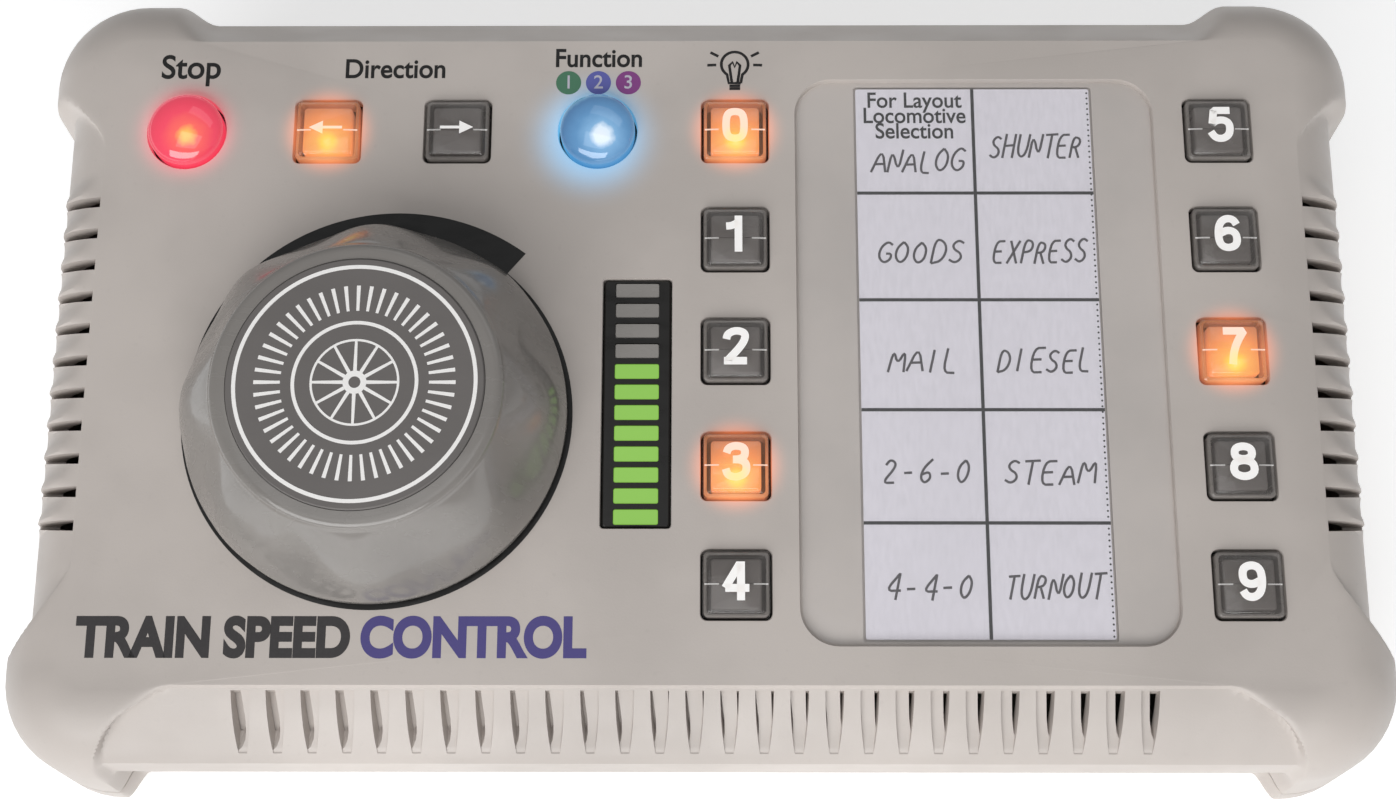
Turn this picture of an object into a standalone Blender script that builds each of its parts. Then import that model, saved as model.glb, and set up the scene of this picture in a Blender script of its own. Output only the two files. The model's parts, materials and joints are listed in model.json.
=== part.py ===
"""Desktop controller for a model railway: a low console with a sloped key panel.

Metres, +Z up, +Y towards the rear. The origin is on the surface that the console
stands on, under the middle of its box. Everything on the sloped panel is placed in
the panel's own axes: X across, V up the slope, W out of the panel, with W = 0 on
the panel's face. The panel_frame empty carries those axes.
"""

import math

import bmesh
import bpy

MM = 0.001

# ---- overall case ---------------------------------------------------------------
SLOPE = math.radians(7.0)
PANEL_HEIGHT = 38.5 * MM          # panel face above the table at V = 0
BOX_SHIFT_Y = -6.45 * MM          # puts the origin under the middle of the box
FOOT_HEIGHT = 3.0 * MM            # case bottom above the table
PARTING_HEIGHT = 9.0 * MM         # seam between the two covers
TOUCH_GAP = 0.3 * MM

FLAT_HALF_WIDTH = 98.7 * MM       # flat panel, inside its rounded edges
FLAT_FRONT = -47.1 * MM
FLAT_REAR = 60.0 * MM
FLAT_CORNER_RADIUS = 3.5 * MM
EDGE_RADIUS = 12.3 * MM           # rounding of the four corner pads
SIDE_RUN = 9.0 * MM               # how far the recessed sides run out
SIDE_LEAN = math.radians(20.0)    # slope at which they leave the panel
REAR_STEP = 7.0 * MM              # how far the rear chamfer runs out
FRONT_STEP = 10.65 * MM           # how far the vent panel runs out at its foot
VENT_LIP = 0.8 * MM               # height of the upright lip above the vent panel
VENT_LIP_RUN = 0.35 * MM
VENT_FOOT = 8.0 * MM              # depth at which the sloping vent panel turns upright
VENT_FLOOR = 14.0 * MM            # depth at which the front is undercut
VENT_UNDERCUT = 2.65 * MM
WALL = 2.2 * MM
PANEL_THICKNESS = 2.6 * MM
SCOOP = 4.0 * MM                  # width of the curved step at a recess's end
FRONT_PAD_EDGE = (83.4 * MM, 95.0 * MM)      # where the front pads start, at the panel and below
FRONT_RECESS_EDGE = (81.5 * MM, 93.0 * MM)   # where the recess between them is full

# ---- side and front vents -------------------------------------------------------
SIDE_SLOT_COUNT = 11
SIDE_SLOT_PITCH = 5.38 * MM
SIDE_SLOT_FIRST = 31.8 * MM
SIDE_SLOT_WIDTH = 1.0 * MM
FRONT_SLOT_COUNT = 27
FRONT_SLOT_PITCH = 5.42 * MM
FRONT_SLOT_MIDDLE = -0.7 * MM
FRONT_SLOT_TOP_WIDTH = 2.8 * MM
FRONT_SLOT_FOOT_WIDTH = 1.3 * MM
FRONT_SLOT_TOP = 0.95 * MM        # below the panel edge
FRONT_SLOT_FOOT = 6.9 * MM

# ---- panel layout (X, V) --------------------------------------------------------
KEY_PITCH = 19.0 * MM
TOP_ROW_V = 44.2 * MM
LEFT_COLUMN_X = 5.8 * MM
RIGHT_COLUMN_X = 85.8 * MM
DIRECTION_KEYS_X = {"left": -61.9 * MM, "right": -40.3 * MM}
STOP_X = -85.4 * MM
FUNCTION_X = -17.0 * MM
KNOB_CENTRE = (-51.65 * MM, -4.5 * MM)
BAR_CENTRE = (-10.1 * MM, -2.2 * MM)
BAR_SIZE = (10.8 * MM, 40.9 * MM)
BAR_SEGMENTS = 12
BAR_PITCH = 3.41 * MM
CARD_CENTRE = (45.5 * MM, 6.0 * MM)
CARD_RECESS = (59.3 * MM, 94.6 * MM)
CARD_RECESS_RADIUS = 6.0 * MM
CARD_RECESS_DEPTH = 1.3 * MM
CARD_CHANNEL = (39.8 * MM, 93.2 * MM)
CARD_CHANNEL_DEPTH = 1.9 * MM
CARD_SIZE = (39.0 * MM, 92.4 * MM)
CARD_THICKNESS = 0.3 * MM

# ---- keys and switches ----------------------------------------------------------
KEY_HOLE = 11.3 * MM
KEY_SIZE = 10.6 * MM
KEY_FACE = 9.0 * MM
KEY_TOP = 1.9 * MM
KEY_SHOULDER = 0.9 * MM
KEY_FLANGE = 12.3 * MM
KEY_FLANGE_TOP = -3.0 * MM
KEY_FLANGE_FOOT = -3.9 * MM
DOME_HOLE_RADIUS = 6.6 * MM
DOME_RADIUS = 6.2 * MM
DOME_TOP = 3.6 * MM
DOME_SHOULDER = 0.8 * MM
DOME_FLANGE_RADIUS = 7.4 * MM
STEM_RADIUS = 1.7 * MM
STEM_FOOT = -7.2 * MM
SWITCH_TOP = -6.2 * MM
SWITCH_SIZE = 6.0 * MM
SWITCH_HOLE_RADIUS = 2.1 * MM
SWITCH_HOLE_FOOT = -8.7 * MM

# ---- panel board ----------------------------------------------------------------
BOARD_TOP = -9.5 * MM
BOARD_THICKNESS = 1.6 * MM
BOARD_HALF_WIDTH = 94.0 * MM
BOARD_FRONT = -43.0 * MM
BOARD_REAR = 55.0 * MM

# ---- speed knob -----------------------------------------------------------------
SKIRT_RADIUS = 30.6 * MM
SKIRT_FOOT = 0.9 * MM
SKIRT_TOP = 2.2 * MM
RIM_RADIUS = 22.3 * MM
RIM_HEIGHT = 19.0 * MM
KNOB_TOP = 20.0 * MM
LOBES = 8
KNOB_SIDES = 48
LOBE_SWELL = 1.1 * MM
LOBE_DEPTH = 0.9 * MM
BADGE_RADIUS = 19.4 * MM
BADGE_THICKNESS = 0.8 * MM
BADGE_TOP = 20.3 * MM
SHAFT_RADIUS = 3.0 * MM
BUSHING_RADIUS = 4.5 * MM
BUSHING_TOP = 5.0 * MM
NUT_RADIUS = 7.0 * MM

# ---- rear sockets ---------------------------------------------------------------
REAR_WALL_Y = FLAT_REAR + REAR_STEP
JACK_HEIGHT = 20.0 * MM
JACK_SPOTS = {"power_socket": -66.0 * MM, "track_socket": -40.0 * MM}
JACK_OUTER_RADIUS = 5.2 * MM
MODULAR_JACKS = {"walkaround_socket": 4.0 * MM, "booster_socket": 30.0 * MM}
MODULAR_SIZE = (13.0 * MM, 15.0 * MM, 12.0 * MM)
MODULAR_MOUTH = (9.8 * MM, 7.2 * MM)

COLOURS = {
    "case": ((0.42, 0.38, 0.36), 0.45, 0.0),
    "knob": ((0.2, 0.19, 0.18), 0.25, 0.0),
    "smoke_key": ((0.1, 0.095, 0.09), 0.2, 0.0),
    "red": ((0.8, 0.08, 0.1), 0.2, 0.0),
    "blue": ((0.1, 0.35, 0.75), 0.2, 0.0),
    "black": ((0.015, 0.015, 0.015), 0.3, 0.0),
    "green": ((0.3, 0.62, 0.1), 0.4, 0.0),
    "clear": ((0.85, 0.85, 0.85), 0.05, 0.0),
    "card": ((0.75, 0.73, 0.78), 0.8, 0.0),
    "board": ((0.03, 0.22, 0.08), 0.5, 0.0),
    "metal": ((0.6, 0.6, 0.6), 0.3, 1.0),
    "rubber": ((0.03, 0.03, 0.03), 0.9, 0.0),
    "white": ((0.8, 0.8, 0.78), 0.4, 0.0),
}


def clear_scene():
    for item in list(bpy.data.objects):
        bpy.data.objects.remove(item, do_unlink=True)


def material(name):
    """The named finish as a Principled material, made once."""
    found = bpy.data.materials.get(name)
    if found:
        return found
    colour, roughness, metallic = COLOURS[name]
    made = bpy.data.materials.new(name)
    made.use_nodes = True
    shader = made.node_tree.nodes["Principled BSDF"]
    shader.inputs["Base Color"].default_value = (*colour, 1.0)
    shader.inputs["Roughness"].default_value = roughness
    shader.inputs["Metallic"].default_value = metallic
    return made


def add_object(name, mesh_builder, finish, parent=None, location=(0, 0, 0), smooth=True):
    """Turn a filled bmesh into a named object with outward faces."""
    bmesh.ops.recalc_face_normals(mesh_builder, faces=mesh_builder.faces)
    bmesh.ops.triangulate(mesh_builder, faces=mesh_builder.faces)
    mesh = bpy.data.meshes.new(name)
    mesh_builder.to_mesh(mesh)
    mesh_builder.free()
    if smooth:
        mesh.shade_smooth()
        mesh.set_sharp_from_angle(angle=math.radians(35.0))
    made = bpy.data.objects.new(name, mesh)
    bpy.context.scene.collection.objects.link(made)
    made.data.materials.append(material(finish))
    made.parent = parent
    made.location = location
    return made


def cut(target, cutter_builder, name, parent=None, location=(0, 0, 0)):
    """Subtract a cutter from a target with an exact Boolean."""
    cutter = add_object(name, cutter_builder, "black", parent, location, smooth=False)
    cutter.hide_render = True
    cutter.display_type = "WIRE"
    boolean = target.modifiers.new(name, "BOOLEAN")
    boolean.operation = "DIFFERENCE"
    boolean.object = cutter
    return cutter


def loft(builder, rings):
    """Join rings of equal length into one closed solid, capped at both ends."""
    rows = [[builder.verts.new(point) for point in ring] for ring in rings]
    count = len(rows[0])
    for lower, upper in zip(rows, rows[1:]):
        for i in range(count):
            j = (i + 1) % count
            builder.faces.new((lower[i], lower[j], upper[j], upper[i]))
    builder.faces.new(rows[0][::-1])
    builder.faces.new(rows[-1])


def rounded_rectangle(width, height, radius, steps=4, centre=(0, 0)):
    """Plan points of a rectangle with round corners, anticlockwise."""
    points = []
    corners = ((1, 1, 0), (-1, 1, 90), (-1, -1, 180), (1, -1, 270))
    for sx, sy, start in corners:
        cx = centre[0] + sx * (width / 2 - radius)
        cy = centre[1] + sy * (height / 2 - radius)
        for k in range(steps + 1):
            angle = math.radians(start + 90.0 * k / steps)
            points.append((cx + radius * math.cos(angle), cy + radius * math.sin(angle)))
    return points


def circle(radius, sides, centre=(0, 0)):
    turn = 2 * math.pi / sides
    return [(centre[0] + radius * math.cos(turn * i), centre[1] + radius * math.sin(turn * i))
            for i in range(sides)]


def prism(builder, outline, low, high):
    loft(builder, [[(x, y, low) for x, y in outline], [(x, y, high) for x, y in outline]])


def box(builder, low, high):
    outline = [(low[0], low[1]), (high[0], low[1]), (high[0], high[1]), (low[0], high[1])]
    prism(builder, outline, low[2], high[2])


def turned(builder, profile, sides):
    """Closed solid of revolution from (radius, height) pairs that start and end solid."""
    loft(builder, [[(x, y, w) for x, y in circle(r, sides)] for r, w in profile])


def ring_body(builder, inner, outer, low, high, sides):
    """A tube standing along +Z."""
    rings = []
    for radius, height in ((outer, low), (outer, high), (inner, high), (inner, low)):
        rings.append([builder.verts.new((x, y, height)) for x, y in circle(radius, sides)])
    for a, b in zip(rings, rings[1:] + rings[:1]):
        for i in range(sides):
            j = (i + 1) % sides
            builder.faces.new((a[i], a[j], b[j], b[i]))


# ---- case surface ---------------------------------------------------------------
def panel_z(y):
    """Height of the panel face over a plan position, before the shift to the origin."""
    return PANEL_HEIGHT + y * math.tan(SLOPE)


def quarter(depth, radius):
    """How far a rounded edge has run out at a depth below the panel."""
    t = min(max(depth / radius, 0.0), 1.0)
    return radius * math.sqrt(max(1.0 - (1.0 - t) ** 2, 0.0))


def smooth_step(t):
    t = min(max(t, 0.0), 1.0)
    return t * t * (3 - 2 * t)


def arc_rise(depth, height):
    t = min(max(depth / height, 0.0), 1.0)
    return math.sqrt(max(1.0 - (1.0 - t) ** 2, 0.0))


def front_run(depth):
    """Run of the front recess: an upright lip, a slope, an upright foot and an undercut."""
    if depth <= VENT_LIP:
        return VENT_LIP_RUN * max(depth, 0.0) / VENT_LIP
    t = min((depth - VENT_LIP) / (VENT_FOOT - VENT_LIP), 1.0)
    slope = VENT_LIP_RUN + (FRONT_STEP - VENT_LIP_RUN) * (1.0 - (1.0 - t) ** 1.25)
    return slope - VENT_UNDERCUT * smooth_step((depth - VENT_FLOOR) / (5 * MM))


def side_run(depth):
    """Run of a side recess, which leaves the panel at a crisp angle."""
    radius = SIDE_RUN / (1.0 - math.sin(SIDE_LEAN))
    drop = max(math.cos(SIDE_LEAN) - max(depth, 0.0) / radius, 0.0)
    return radius * (math.sqrt(1.0 - drop * drop) - math.sin(SIDE_LEAN))


def rear_run(depth):
    return min(depth * 1.15, REAR_STEP)


def recess_share(x, y, side, depth):
    """0 on a corner pad, 1 in a recess, with a curved step between them."""
    if side == "side":
        front_end = -26.5 * MM - 11 * MM * arc_rise(depth, 8 * MM)
        rear_end = 40 * MM + 9 * MM * arc_rise(depth, 7 * MM)
        return smooth_step((y - front_end) / SCOOP + 1) * smooth_step((rear_end - y) / SCOOP + 1)
    if side == "rear":
        return smooth_step((83 * MM - abs(x)) / (1.8 * SCOOP) + 1)
    belly = 7 * MM
    reach = 6 * MM if depth < belly else 45 * MM
    arc = math.sqrt(max(1.0 - ((depth - belly) / reach) ** 2, 0.0))
    full = FRONT_RECESS_EDGE[0] + (FRONT_RECESS_EDGE[1] - FRONT_RECESS_EDGE[0]) * arc
    rise = min(max(depth, 0.0) / (8 * MM), 1.0) ** 0.2
    end = FRONT_PAD_EDGE[0] + (FRONT_PAD_EDGE[1] - FRONT_PAD_EDGE[0]) * rise
    return smooth_step((end - abs(x)) / (end - full))


def run_out(x, y, side, depth, thickness):
    """Distance from the flat panel's edge to the wall, at a depth below the panel."""
    pad_radius = EDGE_RADIUS - thickness
    inner_depth = depth - thickness
    pad = quarter(inner_depth, pad_radius)
    if side == "corner":
        return pad
    if side == "side":
        recess = side_run(inner_depth) * (1.0 - thickness / SIDE_RUN)
    elif side == "rear":
        recess = max(rear_run(depth) - thickness, 0.0)
    else:
        recess = min(max(front_run(depth) - thickness, 0.0), front_run(inner_depth))
    share = recess_share(x, y, side, depth)
    return pad + (recess - pad) * share


def flat_outline(stations):
    """Stations round the flat panel: (x, y, outward normal, side name)."""
    found = []
    hw = FLAT_HALF_WIDTH - FLAT_CORNER_RADIUS
    front = FLAT_FRONT + FLAT_CORNER_RADIUS
    rear = FLAT_REAR - FLAT_CORNER_RADIUS
    for y in stations["side"]:
        if front <= y <= rear:
            found.append((FLAT_HALF_WIDTH, y, (1.0, 0.0), "side"))
    corner(found, hw, rear, 0, stations["corner"])
    for x in reversed(stations["rear"]):
        found.append((x, FLAT_REAR, (0.0, 1.0), "rear"))
    corner(found, -hw, rear, 90, stations["corner"])
    for y in reversed(stations["side"]):
        if front <= y <= rear:
            found.append((-FLAT_HALF_WIDTH, y, (-1.0, 0.0), "side"))
    corner(found, -hw, front, 180, stations["corner"])
    for x in stations["front"]:
        found.append((x, FLAT_FRONT, (0.0, -1.0), "front"))
    corner(found, hw, front, 270, stations["corner"])
    return found


def corner(found, cx, cy, start, steps):
    for k in range(steps + 1):
        angle = math.radians(start + 90.0 * k / steps)
        nx, ny = math.cos(angle), math.sin(angle)
        found.append((cx + FLAT_CORNER_RADIUS * nx, cy + FLAT_CORNER_RADIUS * ny, (nx, ny), "corner"))


def mirrored(values):
    return sorted([-v for v in values if v > 0] + list(values))


STATIONS = {
    "side": [v * MM for v in (-41.5, -39.5, -37.5, -34, -30, -26, 0, 39, 42, 45, 47, 49, 51, 53)],
    "rear": mirrored([v * MM for v in (0, 83, 85.5, 88, 90.5)]),
    "front": mirrored([v * MM for v in (0, 79, 81.5, 83.5, 85.5, 87.5, 89.4, 91, 92.5, 93.8)]),
    "corner": 5,
}


def case_rings(shares, bottom, thickness):
    """Rings of the case surface at shares of its height, from the panel to a level bottom."""
    rings = []
    for share in shares:
        ring = []
        for x, y, normal, side in flat_outline(STATIONS):
            full = panel_z(y) - bottom
            here = thickness + (full - thickness) * share
            out = run_out(x, y, side, here, thickness)
            px = x + normal[0] * out
            py = y + normal[1] * out
            ring.append((px, py + BOX_SHIFT_Y, panel_z(y) - here))
        rings.append(ring)
    return rings


OUTER_SHARES = (0.0, 0.012, 0.034, 0.1, 0.18, 0.28, 0.36, 0.58, 0.69, 0.8, 1.0)
INNER_SHARES = (0.0, 0.06, 0.2, 0.32, 0.5, 0.7, 0.8, 1.0)


def build_top_cover(panel_frame):
    outer = bmesh.new()
    loft(outer, case_rings(OUTER_SHARES, PARTING_HEIGHT, 0.0)[::-1])
    cover = add_object("top_cover", outer, "case")
    inner = bmesh.new()
    loft(inner, case_rings(INNER_SHARES, PARTING_HEIGHT - 1 * MM, PANEL_THICKNESS)[::-1])
    cut(cover, inner, "cover_hollow_cutter")

    holes = bmesh.new()
    for x, v in key_spots().values():
        prism(holes, rounded_rectangle(KEY_HOLE, KEY_HOLE, 1 * MM, 1, (x, v)), -6 * MM, 2 * MM)
    for x in (STOP_X, FUNCTION_X):
        prism(holes, circle(DOME_HOLE_RADIUS, 18, (x, TOP_ROW_V)), -6 * MM, 2 * MM)
    prism(holes, circle(BUSHING_RADIUS + 0.6 * MM, 16, KNOB_CENTRE), -6 * MM, 2 * MM)
    bar = rounded_rectangle(BAR_SIZE[0] + 0.8 * MM, BAR_SIZE[1] + 0.8 * MM, 0.5 * MM, 1, BAR_CENTRE)
    prism(holes, bar, -6 * MM, 2 * MM)
    cut(cover, holes, "panel_holes_cutter", panel_frame)

    recess = bmesh.new()
    outline = rounded_rectangle(*CARD_RECESS, CARD_RECESS_RADIUS, 6, CARD_CENTRE)
    prism(recess, outline, -CARD_RECESS_DEPTH, 2 * MM)
    cut(cover, recess, "card_recess_cutter", panel_frame)
    channel = bmesh.new()
    prism(channel, rounded_rectangle(*CARD_CHANNEL, 0.5 * MM, 1, CARD_CENTRE), -CARD_CHANNEL_DEPTH, 3 * MM)
    cut(cover, channel, "card_channel_cutter", panel_frame)

    vents = bmesh.new()
    for i in range(SIDE_SLOT_COUNT):
        v = SIDE_SLOT_FIRST - i * SIDE_SLOT_PITCH
        y = v * math.cos(SLOPE) + BOX_SHIFT_Y
        top = panel_z(v) - 1.0 * MM
        for sign in (1, -1):
            x0, x1 = sorted((sign * 98.9 * MM, sign * 108 * MM))
            box(vents, (x0, y - SIDE_SLOT_WIDTH / 2, top - 6 * MM), (x1, y + SIDE_SLOT_WIDTH / 2, top))
    for i in range(FRONT_SLOT_COUNT):
        x = FRONT_SLOT_MIDDLE + (i - (FRONT_SLOT_COUNT - 1) / 2) * FRONT_SLOT_PITCH
        z_top = panel_z(FLAT_FRONT) - FRONT_SLOT_TOP
        z_foot = panel_z(FLAT_FRONT) - FRONT_SLOT_FOOT
        wide, narrow = FRONT_SLOT_TOP_WIDTH / 2, FRONT_SLOT_FOOT_WIDTH / 2
        outline = ((x - wide, z_top), (x + wide, z_top), (x + narrow, z_foot), (x - narrow, z_foot))
        y0 = FLAT_FRONT + BOX_SHIFT_Y
        loft(vents, [[(a, y, z) for a, z in outline] for y in (y0 - 12 * MM, y0 - 1.2 * MM)])
    cut(cover, vents, "vent_cutter")

    sockets = bmesh.new()
    y0 = REAR_WALL_Y + BOX_SHIFT_Y
    for x in JACK_SPOTS.values():
        outline = circle(JACK_OUTER_RADIUS + TOUCH_GAP, 20, (x, JACK_HEIGHT))
        loft(sockets, [[(a, y, b) for a, b in outline] for y in (y0 - 6 * MM, y0 + 3 * MM)])
    for x in MODULAR_JACKS.values():
        hw = MODULAR_SIZE[0] / 2 + TOUCH_GAP
        hh = MODULAR_SIZE[2] / 2 + TOUCH_GAP
        box(sockets, (x - hw, y0 - 6 * MM, JACK_HEIGHT - hh), (x + hw, y0 + 3 * MM, JACK_HEIGHT + hh))
    cut(cover, sockets, "socket_cutter")
    return cover


def build_bottom_cover():
    """Tray whose rim carries on the outline of the upper cover."""
    foot_rings = []
    for height, inset in ((FOOT_HEIGHT, 1.5 * MM), (FOOT_HEIGHT + 1.5 * MM, 0.0),
                          (PARTING_HEIGHT - TOUCH_GAP, 0.0)):
        ring = []
        for x, y, normal, side in flat_outline(STATIONS):
            out = run_out(x, y, side, panel_z(y) - height, 0.0) - inset
            ring.append((x + normal[0] * out, y + normal[1] * out + BOX_SHIFT_Y, height))
        foot_rings.append(ring)
    builder = bmesh.new()
    loft(builder, foot_rings)
    tray = add_object("bottom_cover", builder, "case")
    inner = bmesh.new()
    wall_rings = []
    for height in (FOOT_HEIGHT + WALL, PARTING_HEIGHT + 1 * MM):
        ring = []
        for x, y, normal, side in flat_outline(STATIONS):
            out = run_out(x, y, side, panel_z(y) - height, 0.0) - WALL
            ring.append((x + normal[0] * out, y + normal[1] * out + BOX_SHIFT_Y, height))
        wall_rings.append(ring)
    loft(inner, wall_rings)
    cut(tray, inner, "tray_hollow_cutter")
    slots = bmesh.new()
    for i in range(9):
        x = (i - 4) * 9 * MM
        box(slots, (x - 1.5 * MM, -30 * MM, 0), (x + 1.5 * MM, 10 * MM, FOOT_HEIGHT + 2 * WALL))
    for x, y in SCREW_SPOTS:
        prism(slots, circle(2.1 * MM, 14, (x, y)), 0, FOOT_HEIGHT + 2 * WALL)
    cut(tray, slots, "tray_slot_cutter")
    return tray


SCREW_SPOTS = [(sx * 84 * MM, y * MM) for sx in (-1, 1) for y in (-38, 48)]
FOOT_SPOTS = [(sx * 94 * MM, y * MM) for sx in (-1, 1) for y in (-49, 54)]


def build_feet_and_screws():
    for i, (x, y) in enumerate(FOOT_SPOTS):
        builder = bmesh.new()
        profile = ((6.0, 0.0), (6.5, 0.5), (6.5, 2.7))
        turned(builder, [(r * MM, h * MM) for r, h in profile], 24)
        add_object(f"foot_{i + 1}", builder, "rubber", None, (x, y, 0))
    for i, (x, y) in enumerate(SCREW_SPOTS):
        builder = bmesh.new()
        head_low = FOOT_HEIGHT - 2.4 * MM
        head_top = FOOT_HEIGHT - TOUCH_GAP
        turned(builder, [(2.4 * MM, head_low), (3.1 * MM, head_low + 0.7 * MM), (3.1 * MM, head_top),
                         (1.5 * MM, head_top), (1.5 * MM, 16 * MM)], 14)
        screw = add_object(f"case_screw_{i + 1}", builder, "metal", None, (x, y, 0))
        cross = bmesh.new()
        arm, half = 1.5 * MM, 0.3 * MM
        outline = [(arm, -half), (arm, half), (half, half), (half, arm), (-half, arm), (-half, half),
                   (-arm, half), (-arm, -half), (-half, -half), (-half, -arm), (half, -arm), (half, -half)]
        prism(cross, outline, head_low - 1 * MM, head_low + 1 * MM)
        cut(screw, cross, f"cross_cutter_{i + 1}", None, (x, y, 0))


# ---- keys -----------------------------------------------------------------------
def key_spots():
    """Panel position of each square key, by its node name."""
    spots = {}
    for digit in range(10):
        x = LEFT_COLUMN_X if digit < 5 else RIGHT_COLUMN_X
        spots[f"key_{digit}"] = (x, TOP_ROW_V - (digit % 5) * KEY_PITCH)
    for side, x in DIRECTION_KEYS_X.items():
        spots[f"direction_key_{side}"] = (x, TOP_ROW_V)
    return spots


def build_square_key(name, spot, panel_frame):
    builder = bmesh.new()
    profile = ((KEY_FLANGE, KEY_FLANGE_FOOT), (KEY_FLANGE, KEY_FLANGE_TOP), (KEY_SIZE, KEY_FLANGE_TOP),
               (KEY_SIZE, KEY_SHOULDER), (KEY_FACE, KEY_TOP))
    rings = [[(x, y, w) for x, y in rounded_rectangle(s, s, 0.9 * MM, 2)] for s, w in profile]
    stem = [[(x, y, w) for x, y in circle_on_square(STEM_RADIUS)] for w in (STEM_FOOT, KEY_FLANGE_FOOT)]
    loft(builder, stem + rings)
    return add_object(name, builder, "smoke_key", panel_frame, (*spot, 0))


def circle_on_square(radius):
    """A circle with a point for each point of the key outline, in the same order."""
    points = []
    for start in (0, 90, 180, 270):
        for k in range(3):
            angle = math.radians(start + 22.5 + 22.5 * k)
            points.append((radius * math.cos(angle), radius * math.sin(angle)))
    return points


def build_dome_button(name, x, finish, panel_frame):
    builder = bmesh.new()
    rise = DOME_TOP - DOME_SHOULDER
    profile = [(STEM_RADIUS, STEM_FOOT), (STEM_RADIUS, KEY_FLANGE_FOOT), (DOME_FLANGE_RADIUS, KEY_FLANGE_FOOT),
               (DOME_FLANGE_RADIUS, KEY_FLANGE_TOP), (DOME_RADIUS, KEY_FLANGE_TOP), (DOME_RADIUS, DOME_SHOULDER)]
    for angle in (math.radians(a) for a in (28, 56, 80)):
        profile.append((DOME_RADIUS * math.cos(angle), DOME_SHOULDER + rise * math.sin(angle)))
    turned(builder, profile, 18)
    return add_object(name, builder, finish, panel_frame, (x, TOP_ROW_V, 0))


def build_switch(name, spot, panel_frame):
    """Push switch body with the hole that the key's stem works in."""
    builder = bmesh.new()
    outline = rounded_rectangle(SWITCH_SIZE, SWITCH_SIZE, 0.4 * MM, 1)
    prism(builder, outline, BOARD_TOP + TOUCH_GAP, SWITCH_TOP)
    body = add_object(name, builder, "black", panel_frame, (*spot, 0))
    hole = bmesh.new()
    prism(hole, circle(SWITCH_HOLE_RADIUS, 12), SWITCH_HOLE_FOOT, SWITCH_TOP + 1 * MM)
    cut(body, hole, f"{name}_cutter", panel_frame, (*spot, 0))


def build_controls(panel_frame):
    spots = key_spots()
    for name, spot in spots.items():
        build_square_key(name, spot, panel_frame)
        build_switch(name.replace("key", "switch"), spot, panel_frame)
    for name, x, finish in (("stop", STOP_X, "red"), ("function", FUNCTION_X, "blue")):
        build_dome_button(f"{name}_button", x, finish, panel_frame)
        build_switch(f"{name}_switch", (x, TOP_ROW_V), panel_frame)


# ---- speed knob -----------------------------------------------------------------
def knob_ring(height):
    """One ring of the knob's lobed flank."""
    t = (height - SKIRT_TOP) / (RIM_HEIGHT - SKIRT_TOP)
    cone = RIM_RADIUS + (SKIRT_RADIUS - RIM_RADIUS) * (1 - t)
    swell = max(math.sin(math.pi * min(max(t, 0.0), 1.0)), 0.0) ** 0.8
    ring = []
    for i in range(KNOB_SIDES):
        angle = 2 * math.pi * i / KNOB_SIDES
        radius = cone + swell * (LOBE_SWELL + LOBE_DEPTH * math.cos(LOBES * angle))
        ring.append((radius * math.cos(angle), radius * math.sin(angle), height))
    return ring


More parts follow.
